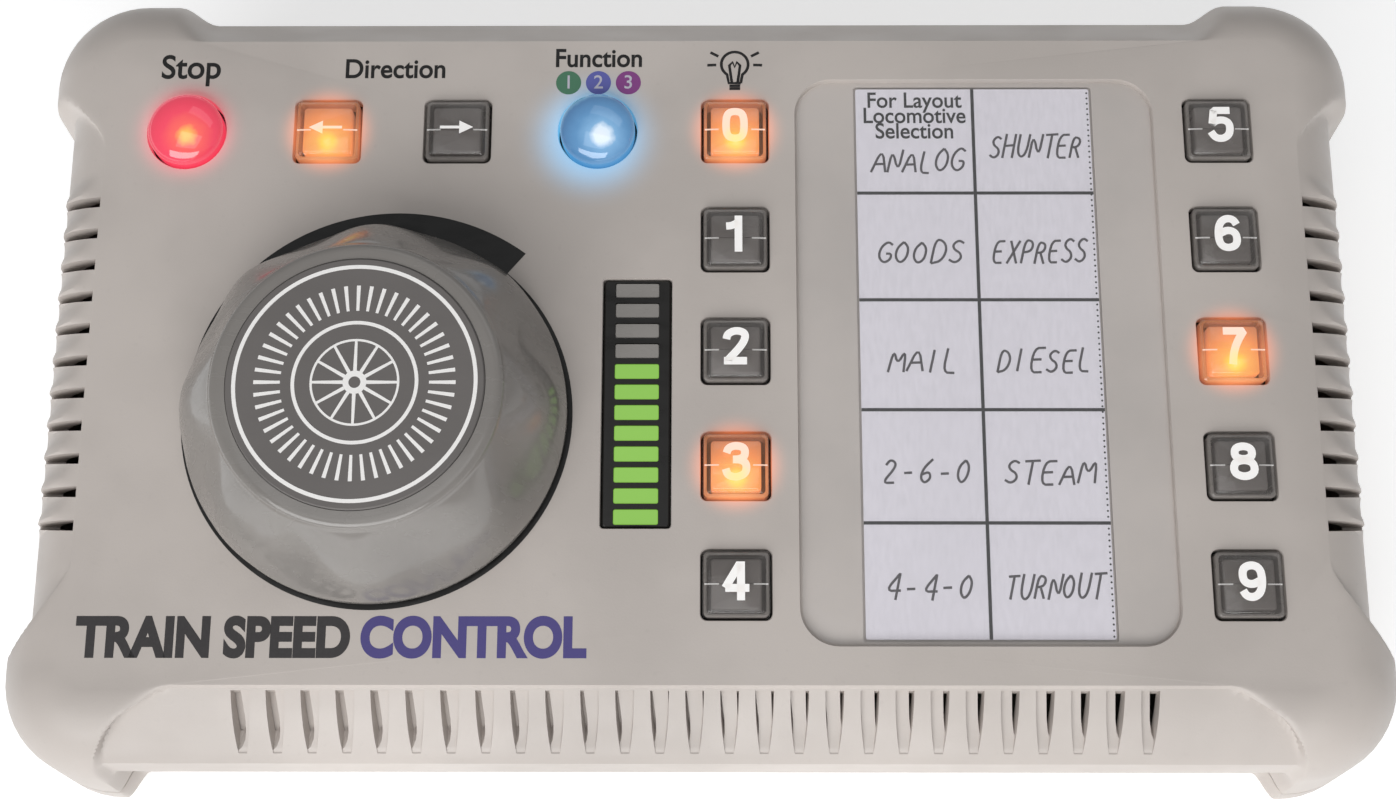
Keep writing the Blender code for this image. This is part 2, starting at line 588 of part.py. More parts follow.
def build_knob(panel_frame):
    builder = bmesh.new()
    heights = [SKIRT_TOP + (RIM_HEIGHT - SKIRT_TOP) * t for t in (0.0, 0.25, 0.5, 0.75, 1.0)]
    rings = [[(x, y, SKIRT_FOOT) for x, y in circle(SKIRT_RADIUS, KNOB_SIDES)]]
    rings += [knob_ring(h) for h in heights]
    rings.append([(x, y, KNOB_TOP) for x, y in circle(RIM_RADIUS - 1.2 * MM, KNOB_SIDES)])
    loft(builder, rings)
    centre = (*KNOB_CENTRE, 0)
    knob = add_object("speed_knob", builder, "knob", panel_frame, centre)
    seat = bmesh.new()
    prism(seat, circle(BADGE_RADIUS + TOUCH_GAP, 36), BADGE_TOP - BADGE_THICKNESS - TOUCH_GAP, 30 * MM)
    cut(knob, seat, "badge_seat_cutter", panel_frame, centre)
    hollow = bmesh.new()
    turned(hollow, [(28.5 * MM, 0), (28.5 * MM, 1.8 * MM), (21 * MM, 16 * MM)], 24)
    cut(knob, hollow, "knob_hollow_cutter", panel_frame, centre)
    hub = bmesh.new()
    prism(hub, circle(6 * MM, 24), 6.5 * MM, 17 * MM)
    hub_object = add_object("hub_guide", hub, "knob", panel_frame, centre)
    hub_object.hide_render = True
    hub_object.display_type = "WIRE"
    union = knob.modifiers.new("hub", "BOOLEAN")
    union.operation = "UNION"
    union.object = hub_object
    bore = bmesh.new()
    prism(bore, circle(SHAFT_RADIUS + TOUCH_GAP, 20), 0, 14.3 * MM)
    cut(knob, bore, "knob_bore_cutter", panel_frame, centre)

    badge = bmesh.new()
    prism(badge, circle(BADGE_RADIUS, 36), BADGE_TOP - BADGE_THICKNESS, BADGE_TOP)
    add_object("knob_badge", badge, "knob", panel_frame, centre)

    shaft = bmesh.new()
    prism(shaft, circle(SHAFT_RADIUS, 20), -6 * MM, 14 * MM)
    add_object("encoder_shaft", shaft, "metal", panel_frame, centre)
    encoder = bmesh.new()
    outline = rounded_rectangle(14 * MM, 13 * MM, 0.5 * MM, 1)
    prism(encoder, outline, BOARD_TOP + TOUCH_GAP, PANEL_UNDERSIDE)
    body = add_object("speed_encoder", encoder, "metal", panel_frame, centre)
    bushing = bmesh.new()
    prism(bushing, circle(BUSHING_RADIUS, 20), PANEL_UNDERSIDE - 1 * MM, BUSHING_TOP)
    guide = add_object("bushing_guide", bushing, "metal", panel_frame, centre)
    guide.hide_render = True
    guide.display_type = "WIRE"
    union = body.modifiers.new("bushing", "BOOLEAN")
    union.operation = "UNION"
    union.object = guide
    bore = bmesh.new()
    prism(bore, circle(SHAFT_RADIUS + TOUCH_GAP, 20), -6.3 * MM, 10 * MM)
    cut(body, bore, "encoder_bore_cutter", panel_frame, centre)

    nut = bmesh.new()
    ring_body(nut, BUSHING_RADIUS + TOUCH_GAP, NUT_RADIUS, TOUCH_GAP, 2.8 * MM, 18)
    add_object("encoder_nut", nut, "metal", panel_frame, centre)


PANEL_UNDERSIDE = -PANEL_THICKNESS - TOUCH_GAP


# ---- bar graph and name card ----------------------------------------------------
def bar_slots(extra):
    """Outlines of the bar graph's windows, each grown by extra."""
    outlines = []
    for i in range(BAR_SEGMENTS):
        v = (i - (BAR_SEGMENTS - 1) / 2) * BAR_PITCH
        outlines.append(rounded_rectangle(6.9 * MM + extra, 2.1 * MM + extra, 0.2 * MM, 1, (0, v)))
    return outlines


def build_bar_graph(panel_frame):
    centre = (*BAR_CENTRE, 0)
    window = bmesh.new()
    prism(window, rounded_rectangle(*BAR_SIZE, 0.4 * MM, 1), -2.4 * MM, -0.3 * MM)
    plate = add_object("bar_window", window, "black", panel_frame, centre)
    slots = bmesh.new()
    for outline in bar_slots(2 * TOUCH_GAP):
        prism(slots, outline, -4 * MM, 1 * MM)
    cut(plate, slots, "bar_slot_cutter", panel_frame, centre)

    module = bmesh.new()
    prism(module, rounded_rectangle(9.6 * MM, BAR_SIZE[1], 0.4 * MM, 1), BOARD_TOP + TOUCH_GAP, -2.8 * MM)
    lamp = add_object("bar_graph", module, "green", panel_frame, centre)
    fingers = bmesh.new()
    for outline in bar_slots(0.0):
        prism(fingers, outline, -3.5 * MM, -0.5 * MM)
    guide = add_object("finger_guide", fingers, "green", panel_frame, centre)
    guide.hide_render = True
    guide.display_type = "WIRE"
    union = lamp.modifiers.new("fingers", "BOOLEAN")
    union.operation = "UNION"
    union.object = guide


def build_name_card(panel_frame):
    centre = (*CARD_CENTRE, 0)
    card = bmesh.new()
    low = -CARD_CHANNEL_DEPTH + TOUCH_GAP
    prism(card, rounded_rectangle(*CARD_SIZE, 0.3 * MM, 1), low, low + CARD_THICKNESS)
    add_object("name_card", card, "card", panel_frame, centre)
    cover = bmesh.new()
    size = (CARD_RECESS[0] - 2 * TOUCH_GAP, CARD_RECESS[1] - 2 * TOUCH_GAP)
    outline = rounded_rectangle(*size, CARD_RECESS_RADIUS - TOUCH_GAP, 6)
    prism(cover, outline, -CARD_RECESS_DEPTH + TOUCH_GAP, -0.2 * MM)
    add_object("card_window", cover, "clear", panel_frame, centre)


# ---- inside ---------------------------------------------------------------------
def board_underside(y):
    """Height of the panel board's lower face over a plan position."""
    drop = (-BOARD_TOP + BOARD_THICKNESS + TOUCH_GAP) / math.cos(SLOPE)
    return panel_z(y - BOX_SHIFT_Y) - drop


def build_panel_board(panel_frame):
    board = bmesh.new()
    box(board, (-BOARD_HALF_WIDTH, BOARD_FRONT, BOARD_TOP - BOARD_THICKNESS),
        (BOARD_HALF_WIDTH, BOARD_REAR, BOARD_TOP))
    add_object("panel_board", board, "board", panel_frame, smooth=False)


def build_main_board():
    """Power board on the tray, with its parts, and the sockets at the rear wall."""
    floor = FOOT_HEIGHT + WALL
    board_low = floor + 2.0 * MM
    board_top = board_low + BOARD_THICKNESS
    y1 = REAR_WALL_Y + BOX_SHIFT_Y - WALL - 1.5 * MM
    board = bmesh.new()
    box(board, (-78 * MM, y1 - 50 * MM, board_low), (78 * MM, y1, board_top))
    add_object("main_board", board, "board", smooth=False)
    low = board_top + TOUCH_GAP
    sink = bmesh.new()
    fins = []
    fin_count = 6
    for i in range(fin_count):
        x = 46 * MM + i * 4 * MM
        fins += [(x, low + 14 * MM), (x + 1.5 * MM, low + 14 * MM)]
        if i < fin_count - 1:
            fins += [(x + 1.5 * MM, low + 3 * MM), (x + 4 * MM, low + 3 * MM)]
    outline = [(46 * MM, low)] + fins + [(67.5 * MM, low)]
    loft(sink, [[(x, y, z) for x, z in outline] for y in (y1 - 44 * MM, y1 - 24 * MM)])
    add_object("heat_sink", sink, "metal", smooth=False)
    chips = {"power_driver": (30, 40, -42, -28, 3.5), "rectifier": (-76, -64, -44, -32, 5.0),
             "microcontroller": (-8, 8, -44, -32, 2.2)}
    for name, (x0, x1, ya, yb, height) in chips.items():
        builder = bmesh.new()
        box(builder, (x0 * MM, y1 + ya * MM, low), (x1 * MM, y1 + yb * MM, low + height * MM))
        add_object(name, builder, "black", smooth=False)
    capacitor = bmesh.new()
    turned(capacitor, [(5 * MM, low), (5 * MM, low + 15 * MM), (4.6 * MM, low + 15.6 * MM)], 20)
    add_object("smoothing_capacitor", capacitor, "black", None, (-40 * MM, y1 - 36 * MM, 0))
    build_sockets(low, REAR_WALL_Y + BOX_SHIFT_Y)
    ribbon = bmesh.new()
    ribbon_y = y1 - 22 * MM
    box(ribbon, (-18 * MM, ribbon_y, low), (-2 * MM, ribbon_y + 0.8 * MM, board_underside(ribbon_y)))
    add_object("board_link", ribbon, "white", smooth=False)


def build_sockets(low, wall_y):
    """Barrel sockets with a pin, and modular sockets with a hollow mouth."""
    face_y = wall_y - 0.4 * MM
    for name, x in JACK_SPOTS.items():
        half = JACK_OUTER_RADIUS
        builder = bmesh.new()
        outline = [(half, low), (half, JACK_HEIGHT)]
        outline += [(half * math.cos(math.radians(a)), JACK_HEIGHT + half * math.sin(math.radians(a)))
                    for a in range(15, 180, 15)]
        outline += [(-half, JACK_HEIGHT), (-half, low)]
        loft(builder, [[(x + a, y, b) for a, b in outline] for y in (face_y - 14 * MM, wall_y - WALL - 1.6 * MM)])
        jack = add_object(name, builder, "black")
        nose = bmesh.new()
        outline = circle(half, 24, (x, JACK_HEIGHT))
        loft(nose, [[(a, y, b) for a, b in outline] for y in (face_y - 8 * MM, face_y)])
        guide = add_object(f"{name}_nose_guide", nose, "black")
        guide.hide_render = True
        guide.display_type = "WIRE"
        union = jack.modifiers.new("nose", "BOOLEAN")
        union.operation = "UNION"
        union.object = guide
        mouth = bmesh.new()
        depth = 10 * MM
        rings = []
        for radius, y in ((3.2 * MM, face_y - depth), (3.2 * MM, face_y + 1 * MM),
                          (1.1 * MM, face_y + 1 * MM), (1.1 * MM, face_y - depth)):
            rings.append([mouth.verts.new((a, y, b)) for a, b in circle(radius, 20, (x, JACK_HEIGHT))])
        for a, b in zip(rings, rings[1:] + rings[:1]):
            for i in range(20):
                j = (i + 1) % 20
                mouth.faces.new((a[i], a[j], b[j], b[i]))
        cut(jack, mouth, f"{name}_mouth_cutter")
    for name, x in MODULAR_JACKS.items():
        width, length, height = MODULAR_SIZE
        low_z, high_z = JACK_HEIGHT - height / 2, JACK_HEIGHT + height / 2
        back_y, step_y = face_y - length, wall_y - WALL - 1.6 * MM
        side = [(face_y, low_z), (face_y, high_z), (back_y, high_z), (back_y, low), (step_y, low),
                (step_y, low_z)]
        builder = bmesh.new()
        loft(builder, [[(a, y, z) for y, z in side] for a in (x - width / 2, x + width / 2)])
        jack = add_object(name, builder, "black", smooth=False)
        mouth = bmesh.new()
        hw, hh = MODULAR_MOUTH[0] / 2, MODULAR_MOUTH[1] / 2
        tab, drop = 2.0 * MM, 1.6 * MM
        outline = [(hw, -hh), (hw, hh), (-hw, hh), (-hw, -hh), (-tab, -hh), (-tab, -hh - drop),
                   (tab, -hh - drop), (tab, -hh)]
        loft(mouth, [[(x + a, y, JACK_HEIGHT + b) for a, b in outline]
                     for y in (face_y - 11 * MM, face_y + 1 * MM)])
        cut(jack, mouth, f"{name}_mouth_cutter")


def main():
    clear_scene()
    panel_frame = bpy.data.objects.new("panel_frame", None)
    bpy.context.scene.collection.objects.link(panel_frame)
    panel_frame.location = (0, BOX_SHIFT_Y, PANEL_HEIGHT)
    panel_frame.rotation_euler = (SLOPE, 0, 0)
    build_top_cover(panel_frame)
    build_bottom_cover()
    build_feet_and_screws()
    build_controls(panel_frame)
    build_knob(panel_frame)
    build_bar_graph(panel_frame)
    build_name_card(panel_frame)
    build_panel_board(panel_frame)
    build_main_board()


main()
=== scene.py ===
"""Looks of a desktop controller for a model railway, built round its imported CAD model.

Every length is in metres unless a name says otherwise. Pieces on the sloped panel are
modelled in the panel's own axes (X across, V up the slope, W out of the panel) and then
baked into world space by PanelAxes, so that each finished object stands at the origin.
"""

from __future__ import annotations

import json
import logging
import math
import random
from dataclasses import dataclass
from enum import Enum

import bmesh
import bpy
from mathutils import Matrix, Vector

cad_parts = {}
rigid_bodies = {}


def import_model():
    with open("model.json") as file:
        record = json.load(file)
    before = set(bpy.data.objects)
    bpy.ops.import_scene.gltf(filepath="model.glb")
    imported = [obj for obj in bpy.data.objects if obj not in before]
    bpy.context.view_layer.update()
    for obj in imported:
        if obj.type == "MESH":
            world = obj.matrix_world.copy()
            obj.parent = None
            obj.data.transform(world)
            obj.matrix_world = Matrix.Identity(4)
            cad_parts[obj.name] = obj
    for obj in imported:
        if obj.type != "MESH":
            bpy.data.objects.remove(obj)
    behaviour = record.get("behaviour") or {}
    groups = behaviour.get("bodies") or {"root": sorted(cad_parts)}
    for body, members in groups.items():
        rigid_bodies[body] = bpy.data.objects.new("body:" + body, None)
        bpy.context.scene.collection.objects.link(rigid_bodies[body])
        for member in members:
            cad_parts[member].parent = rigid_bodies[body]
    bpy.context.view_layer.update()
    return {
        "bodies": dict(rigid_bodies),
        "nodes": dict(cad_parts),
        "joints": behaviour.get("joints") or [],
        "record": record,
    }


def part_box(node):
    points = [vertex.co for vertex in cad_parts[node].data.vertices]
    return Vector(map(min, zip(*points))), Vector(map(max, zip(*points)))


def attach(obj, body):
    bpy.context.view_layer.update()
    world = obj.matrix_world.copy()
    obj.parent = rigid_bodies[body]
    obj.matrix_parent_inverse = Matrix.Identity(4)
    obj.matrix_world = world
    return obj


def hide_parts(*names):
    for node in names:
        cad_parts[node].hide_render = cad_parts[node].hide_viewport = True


LOG = logging.getLogger("controller")
MM = 0.001
INK_THICKNESS = 0.02 * MM
PEN_FLATNESS = 0.12
CRISP_ANGLE = 32.0
Point2 = tuple[float, float]
Colour = tuple[float, float, float]
Material = bpy.types.Material
Object = bpy.types.Object
Socket = bpy.types.NodeSocket
BMesh = bmesh.types.BMesh


def srgb(red: int, green: int, blue: int) -> Colour:
    """Linear colour of an 8-bit display colour.

    Args:
        red: Red, 0 to 255.
        green: Green, 0 to 255.
        blue: Blue, 0 to 255.

    Returns:
        The same colour in linear light, 0 to 1.
    """
    def linear(value: int) -> float:
        """One channel in linear light."""
        share = value / 255.0
        return share / 12.92 if share <= 0.04045 else ((share + 0.055) / 1.055) ** 2.4
    return linear(red), linear(green), linear(blue)


def shade(colour: Colour, share: float) -> Colour:
    """A colour made darker or lighter by a share, held to 1."""
    return tuple(min(channel * share, 1.0) for channel in colour)


class Lamp(Enum):
    """What the lamp under a control shows."""

    OFF = "off"
    AMBER = "amber"
    RED = "red"
    BLUE = "blue"


GLOW = {
    Lamp.AMBER: srgb(255, 120, 30),
    Lamp.RED: srgb(255, 60, 90),
    Lamp.BLUE: srgb(60, 190, 255),
}


# ---- node trees
class Nodes:
    """A material's node tree, with short ways to add and join nodes."""

    def __init__(self, name: str) -> None:
        """Start a material.

        Args:
            name: The material's name.
        """
        self.material = bpy.data.materials.new(name)
        self.material.use_nodes = True
        self.tree = self.material.node_tree
        self.shader = self.tree.nodes["Principled BSDF"]
        self.position = self.add("ShaderNodeTexCoord").outputs["Object"]

    def add(self, kind: str, inputs: dict | None = None, **settings: object) -> bpy.types.Node:
        """Add a node.

        Args:
            kind: The node's type name.
            inputs: Values or sockets by input name or number.
            settings: Properties of the node itself.

        Returns:
            The new node.
        """
        node = self.tree.nodes.new(kind)
        for key, value in settings.items():
            setattr(node, key, value)
        for key, value in (inputs or {}).items():
            self.feed(node.inputs[key], value)
        return node

    def feed(self, socket: Socket, value: object) -> None:
        """Set a socket from a value, or join another socket to it.

        Args:
            socket: The input to fill.
            value: A number, colour, vector or output socket.
        """
        if isinstance(value, Socket):
            self.tree.links.new(value, socket)
        elif socket.type == "RGBA" and isinstance(value, tuple) and len(value) == 3:
            socket.default_value = (*value, 1.0)
        else:
            socket.default_value = value

    def surface(self, **inputs: object) -> None:
        """Fill inputs of the Principled shader, written with underscores for spaces."""
        for key, value in inputs.items():
            self.feed(self.shader.inputs[key.replace("_", " ")], value)

    def noise(self, scale: float, detail: float = 2.0, stretch: Vector | None = None) -> Socket:
        """A noise value over object space.

        Args:
            scale: Cells per metre.
            detail: Octaves of finer noise.
            stretch: Scale on each axis, or None for an even noise.

        Returns:
            The noise's factor output.
        """
        vector = self.position
        if stretch is not None:
            vector = self.add("ShaderNodeMapping", {"Vector": vector, "Scale": stretch}).outputs[0]
        node = self.add("ShaderNodeTexNoise", {"Vector": vector, "Scale": scale, "Detail": detail})
        return node.outputs[0]

    def calc(self, operation: str, first: object, second: object = 0.0, clamp: bool = False) -> Socket:
        """One step of arithmetic.

        Args:
            operation: The math node's operation.
            first: First value or socket.
            second: Second value or socket.
            clamp: Whether the result is held to 0 to 1.

        Returns:
            The result's socket.
        """
        inputs = {0: first, 1: second}
        return self.add("ShaderNodeMath", inputs, operation=operation, use_clamp=clamp).outputs[0]

    def spread(self, value: object, low: float, high: float, to_low: float, to_high: float) -> Socket:
        """Map a value from one range to another, held to its ends.

        Args:
            value: The value or socket to map.
            low: Start of the incoming range.
            high: End of the incoming range.
            to_low: Result at low.
            to_high: Result at high.

        Returns:
            The mapped value's socket.
        """
        inputs = {"Value": value, "From Min": low, "From Max": high, "To Min": to_low, "To Max": to_high}
        return self.add("ShaderNodeMapRange", inputs, interpolation_type="SMOOTHSTEP").outputs[0]

    def blend(self, factor: object, first: object, second: object, mode: str = "MIX") -> Socket:
        """Mix two colours.

        Args:
            factor: Share of the second colour.
            first: First colour or socket.
            second: Second colour or socket.
            mode: The blend mode.

        Returns:
            The mixed colour's socket.
        """
        node = self.add("ShaderNodeMix", data_type="RGBA", blend_type=mode)
        self.feed(node.inputs[0], factor)
        self.feed(node.inputs[6], first)
        self.feed(node.inputs[7], second)
        return node.outputs[2]

    def ramp(self, factor: object, stops: list[tuple[float, Colour]]) -> Socket:
        """A colour that runs through stops.

        Args:
            factor: Position along the ramp.
            stops: Position and colour of each stop.

        Returns:
            The colour's socket.
        """
        node = self.add("ShaderNodeValToRGB", {0: factor})
        elements = node.color_ramp.elements
        while len(elements) < len(stops):
            elements.new(0.5)
        for element, (position, colour) in zip(elements, stops):
            element.position = position
            element.color = (*colour, 1.0)
        return node.outputs[0]

    def relief(self, height: object, distance: float, strength: float = 1.0) -> None:
        """Bump the surface.

        Args:
            height: Height value or socket.
            distance: Depth of the relief in metres.
            strength: How strongly it shows.
        """
        inputs = {"Height": height, "Distance": distance, "Strength": strength}
        self.surface(Normal=self.add("ShaderNodeBump", inputs).outputs[0])

    def distance(self, spot: Vector) -> Socket:
        """Distance of a point of the surface from a fixed spot in object space."""
        node = self.add("ShaderNodeVectorMath", {0: self.position, 1: spot}, operation="DISTANCE")
        return node.outputs["Value"]


# ---- finishes
@dataclass(frozen=True)
class MouldedPlastic:
    """Injection-moulded plastic with a fine spark-eroded grain and faint flow clouds."""

    name: str
    colour: Colour
    roughness: float = 0.42
    grain_depth: float = 0.012 * MM
    grain_scale: float = 2600.0
    coat: float = 0.0
    halos: tuple[tuple[Vector, Lamp, float], ...] = ()

    def build(self) -> Material:
        """Build the plastic, with a soft halo of light round each lit control.

        Returns:
            The material.
        """
        nodes = Nodes(self.name)
        clouds = nodes.noise(28.0, 4.0)
        dust = nodes.noise(900.0, 3.0)
        darker, lighter = shade(self.colour, 0.93), shade(self.colour, 1.05)
        colour = nodes.blend(nodes.spread(clouds, 0.35, 0.65, 0.0, 1.0), darker, lighter)
        colour = nodes.blend(nodes.spread(dust, 0.62, 0.78, 0.0, 0.12), colour, shade(self.colour, 0.7))
        smears = nodes.noise(75.0, 5.0, Vector((1.0, 2.4, 1.0)))
        rough = nodes.spread(smears, 0.3, 0.7, self.roughness - 0.06, self.roughness + 0.07)
        nodes.surface(Base_Color=colour, Roughness=rough, Coat_Weight=self.coat, Coat_Roughness=0.2)
        if self.halos:
            nodes.surface(Emission_Color=self.glow(nodes), Emission_Strength=1.0)
        grain = nodes.calc("ADD", nodes.noise(self.grain_scale, 2.0), nodes.calc("MULTIPLY", dust, 0.5))
        nodes.relief(grain, self.grain_depth)
        return nodes.material

    def glow(self, nodes: Nodes) -> Socket:
        """Light that the lit controls spill into the plastic round them.

        Args:
            nodes: The material's node tree.

        Returns:
            The summed colour's socket.
        """
        total: object = (0.0, 0.0, 0.0)
        for spot, lamp, reach in self.halos:
            near = nodes.spread(nodes.distance(spot), 4.5 * MM, reach, 1.0, 0.0)
            near = nodes.calc("MULTIPLY", nodes.calc("POWER", near, 2.2), 0.55)
            total = nodes.blend(near, total, GLOW[lamp], "ADD")
        return total


@dataclass(frozen=True)
class GlossPlastic:
    """Polished plastic with faint wipe marks in its gloss."""

    name: str
    colour: Colour
    roughness: float = 0.12
    mottle: float = 0.06
    metallic: float = 0.0
    coat: float = 0.5

    def build(self) -> Material:
        """Build the finish.

        Returns:
            The material.
        """
        nodes = Nodes(self.name)
        clouds = nodes.noise(60.0, 4.0)
        low, high = shade(self.colour, 1.0 - self.mottle), shade(self.colour, 1.0 + self.mottle)
        colour = nodes.blend(nodes.spread(clouds, 0.3, 0.7, 0.0, 1.0), low, high)
        wipes = nodes.noise(140.0, 6.0, Vector((1.0, 3.0, 1.0)))
        rough = nodes.spread(wipes, 0.35, 0.7, self.roughness * 0.75, self.roughness * 1.5)
        nodes.surface(Base_Color=colour, Roughness=rough, Metallic=self.metallic, Coat_Weight=self.coat,
                      Coat_Roughness=0.05)
        nodes.relief(nodes.noise(1800.0, 1.0), 0.002 * MM)
        return nodes.material


@dataclass(frozen=True)
class ClearPlastic:
    """Thin clear or smoked plastic that lets light through without bending it."""

    name: str
    tint: Colour
    cover: float = 0.2
    roughness: float = 0.06

    def build(self) -> Material:
        """Build the plastic, whose cover is how much of it is seen.

        Returns:
            The material.
        """
        nodes = Nodes(self.name)
        haze = nodes.noise(350.0, 4.0)
        alpha = nodes.spread(haze, 0.35, 0.75, self.cover * 0.9, self.cover * 1.15)
        nodes.surface(Base_Color=self.tint, Roughness=self.roughness, IOR=1.6, Alpha=alpha,
                      Specular_IOR_Level=0.9, Coat_Weight=1.0, Coat_Roughness=0.03)
        nodes.relief(nodes.noise(900.0, 2.0), 0.001 * MM)
        return nodes.material


@dataclass(frozen=True)
class LampGlow:
    """Translucent plastic lit from below, brightest over its lamp."""

    name: str
    spot: Vector
    stops: tuple[tuple[float, Colour], ...]
    reach: float = 8.0 * MM
    power: float = 1.0
    base: Colour = (0.3, 0.1, 0.02)
    roughness: float = 0.16

    def build(self) -> Material:
        """Build the plastic, lit through a ramp of the distance from the lamp.

        Returns:
            The material.
        """
        nodes = Nodes(self.name)
        cloud = nodes.calc("MULTIPLY", nodes.calc("SUBTRACT", nodes.noise(700.0, 3.0), 0.5), 0.12)
        away = nodes.calc("ADD", nodes.calc("DIVIDE", nodes.distance(self.spot), self.reach), cloud, True)
        colour = nodes.ramp(away, list(self.stops))
        nodes.surface(Base_Color=self.base, Roughness=self.roughness, Emission_Color=colour,
                      Emission_Strength=self.power, Coat_Weight=1.0, Coat_Roughness=0.04)
        nodes.relief(nodes.noise(1200.0, 2.0), 0.004 * MM)
        return nodes.material


@dataclass(frozen=True)
class Ink:
    """Screen-printed ink or pen line with slightly uneven cover."""

    name: str
    colour: Colour
    roughness: float = 0.45
    # An even emission: painted light that brightens the ink under any lamp.
    glow: float = 0.0

    def build(self) -> Material:
        """Build the finish.

        Returns:
            The material.
        """
        nodes = Nodes(self.name)
        uneven = nodes.spread(nodes.noise(2200.0, 3.0), 0.35, 0.75, 0.0, 0.22)
        other = tuple(c * 0.8 + 0.03 for c in self.colour)
        colour = nodes.blend(uneven, self.colour, other)
        nodes.surface(Base_Color=colour, Roughness=self.roughness, Emission_Color=self.colour,
                      Emission_Strength=self.glow)
        nodes.relief(nodes.noise(3000.0, 2.0), 0.003 * MM)
        return nodes.material


@dataclass(frozen=True)
class Paper:
    """Uncoated card with fibre and a slight cool cast."""

    name: str
    colour: Colour

    def build(self) -> Material:
        """Build the finish.

        Returns:
            The material.
        """
        nodes = Nodes(self.name)
        fibre = nodes.noise(1500.0, 8.0, Vector((1.0, 0.25, 1.0)))
        cloud = nodes.noise(45.0, 3.0)
        colour = nodes.blend(nodes.spread(fibre, 0.3, 0.75, 0.0, 0.5), self.colour, shade(self.colour, 0.86))
        colour = nodes.blend(nodes.spread(cloud, 0.35, 0.7, 0.0, 0.35), colour, shade(self.colour, 0.92))
        nodes.surface(Base_Color=colour, Roughness=0.85, Sheen_Weight=0.1)
        nodes.relief(fibre, 0.015 * MM)
        return nodes.material


@dataclass(frozen=True)
class Metal:
    """Plated or bare metal with fine drawing marks."""

    name: str
    colour: Colour
    roughness: float = 0.3

    def build(self) -> Material:
        """Build the finish.

        Returns:
            The material.
        """
        nodes = Nodes(self.name)
        lines = nodes.noise(1600.0, 3.0, Vector((0.08, 1.0, 1.0)))
        stains = nodes.noise(220.0, 4.0)
        colour = nodes.blend(nodes.spread(stains, 0.4, 0.75, 0.0, 0.4), self.colour, shade(self.colour, 0.7))
        rough = nodes.spread(lines, 0.3, 0.7, self.roughness * 0.8, self.roughness * 1.3)
        nodes.surface(Base_Color=colour, Roughness=rough, Metallic=1.0)
        nodes.relief(lines, 0.006 * MM)
        return nodes.material


@dataclass(frozen=True)
class Rubber:
    """Moulded rubber, dull and a little dusty."""

    name: str
    colour: Colour

    def build(self) -> Material:
        """Build the finish.

        Returns:
            The material.
        """
        nodes = Nodes(self.name)
        dust = nodes.noise(500.0, 5.0)
        colour = nodes.blend(nodes.spread(dust, 0.45, 0.8, 0.0, 0.5), self.colour, srgb(92, 88, 84))
        nodes.surface(Base_Color=colour, Roughness=0.88)
        nodes.relief(nodes.noise(1900.0, 3.0), 0.03 * MM)
        return nodes.material


@dataclass(frozen=True)
class CircuitBoard:
    """Solder mask over copper runs."""

    name: str
    colour: Colour

    def build(self) -> Material:
        """Build the finish.

        Returns:
            The material.
        """
        nodes = Nodes(self.name)
        black, white = (0.0, 0.0, 0.0), (1.0, 1.0, 1.0)
        pattern = {"Vector": nodes.position, "Scale": 130.0, "Mortar Size": 0.06, "Mortar": white}
        bricks = nodes.add("ShaderNodeTexBrick", {**pattern, "Color1": black, "Color2": black})
        tracks = nodes.spread(bricks.outputs[0], 0.2, 0.8, 0.0, 0.6)
        colour = nodes.blend(tracks, self.colour, shade(self.colour, 2.2))
        speckle = nodes.spread(nodes.noise(1500.0, 2.0), 0.66, 0.7, 0.0, 0.8)
        colour = nodes.blend(speckle, colour, srgb(190, 190, 180))
        nodes.surface(Base_Color=colour, Roughness=0.35, Coat_Weight=0.4)
        nodes.relief(tracks, 0.03 * MM)
        return nodes.material


# ---- mesh making
def circle(radius: float, sides: int, centre: Point2 = (0.0, 0.0)) -> list[Point2]:
    """Plan points round a circle.

    Args:
        radius: The circle's radius.
        sides: How many points.
        centre: The circle's centre.

    Returns:
        The points, anticlockwise.
    """
    turn = math.tau / sides
    return [(centre[0] + radius * math.cos(turn * i), centre[1] + radius * math.sin(turn * i))
            for i in range(sides)]


def rounded(width: float, height: float, radius: float, steps: int = 6,
            centre: Point2 = (0.0, 0.0)) -> list[Point2]:
    """Plan points of a rectangle with round corners.

    Args:
        width: Size across.
        height: Size up.
        radius: Corner radius.
        steps: Segments in each corner.
        centre: The rectangle's centre.

    Returns:
        The points, anticlockwise.
    """
    points = []
    for sx, sy, start in ((1, 1, 0), (-1, 1, 90), (-1, -1, 180), (1, -1, 270)):
        cx = centre[0] + sx * (width / 2 - radius)
        cy = centre[1] + sy * (height / 2 - radius)
        for k in range(steps + 1):
            angle = math.radians(start + 90.0 * k / steps)
            points.append((cx + radius * math.cos(angle), cy + radius * math.sin(angle)))
    return points


def skin(builder: BMesh, rings: list[list[tuple]], closed: bool) -> list[list[bmesh.types.BMVert]]:
    """Join rings of equal length by a surface.

    Args:
        builder: The mesh to add to.
        rings: Rings of points, in order.
        closed: Whether the last ring is joined to the first.

    Returns:
        The rings' vertices.
    """
    rows = [[builder.verts.new(point) for point in ring] for ring in rings]
    count = len(rows[0])
    for lower, upper in zip(rows, rows[1:] + rows[:1] if closed else rows[1:]):
        for i in range(count):
            j = (i + 1) % count
            builder.faces.new((lower[i], lower[j], upper[j], upper[i]))
    return rows


def loft(builder: BMesh, rings: list[list[tuple]]) -> None:
    """Skin rings of equal length into a solid with closed ends."""
    rows = skin(builder, rings, False)
    builder.faces.new(rows[0][::-1])
    builder.faces.new(rows[-1])


def tube(builder: BMesh, rings: list[list[tuple]]) -> None:
    """Skin rings into a closed ring body, the last ring joined to the first."""
    skin(builder, rings, True)


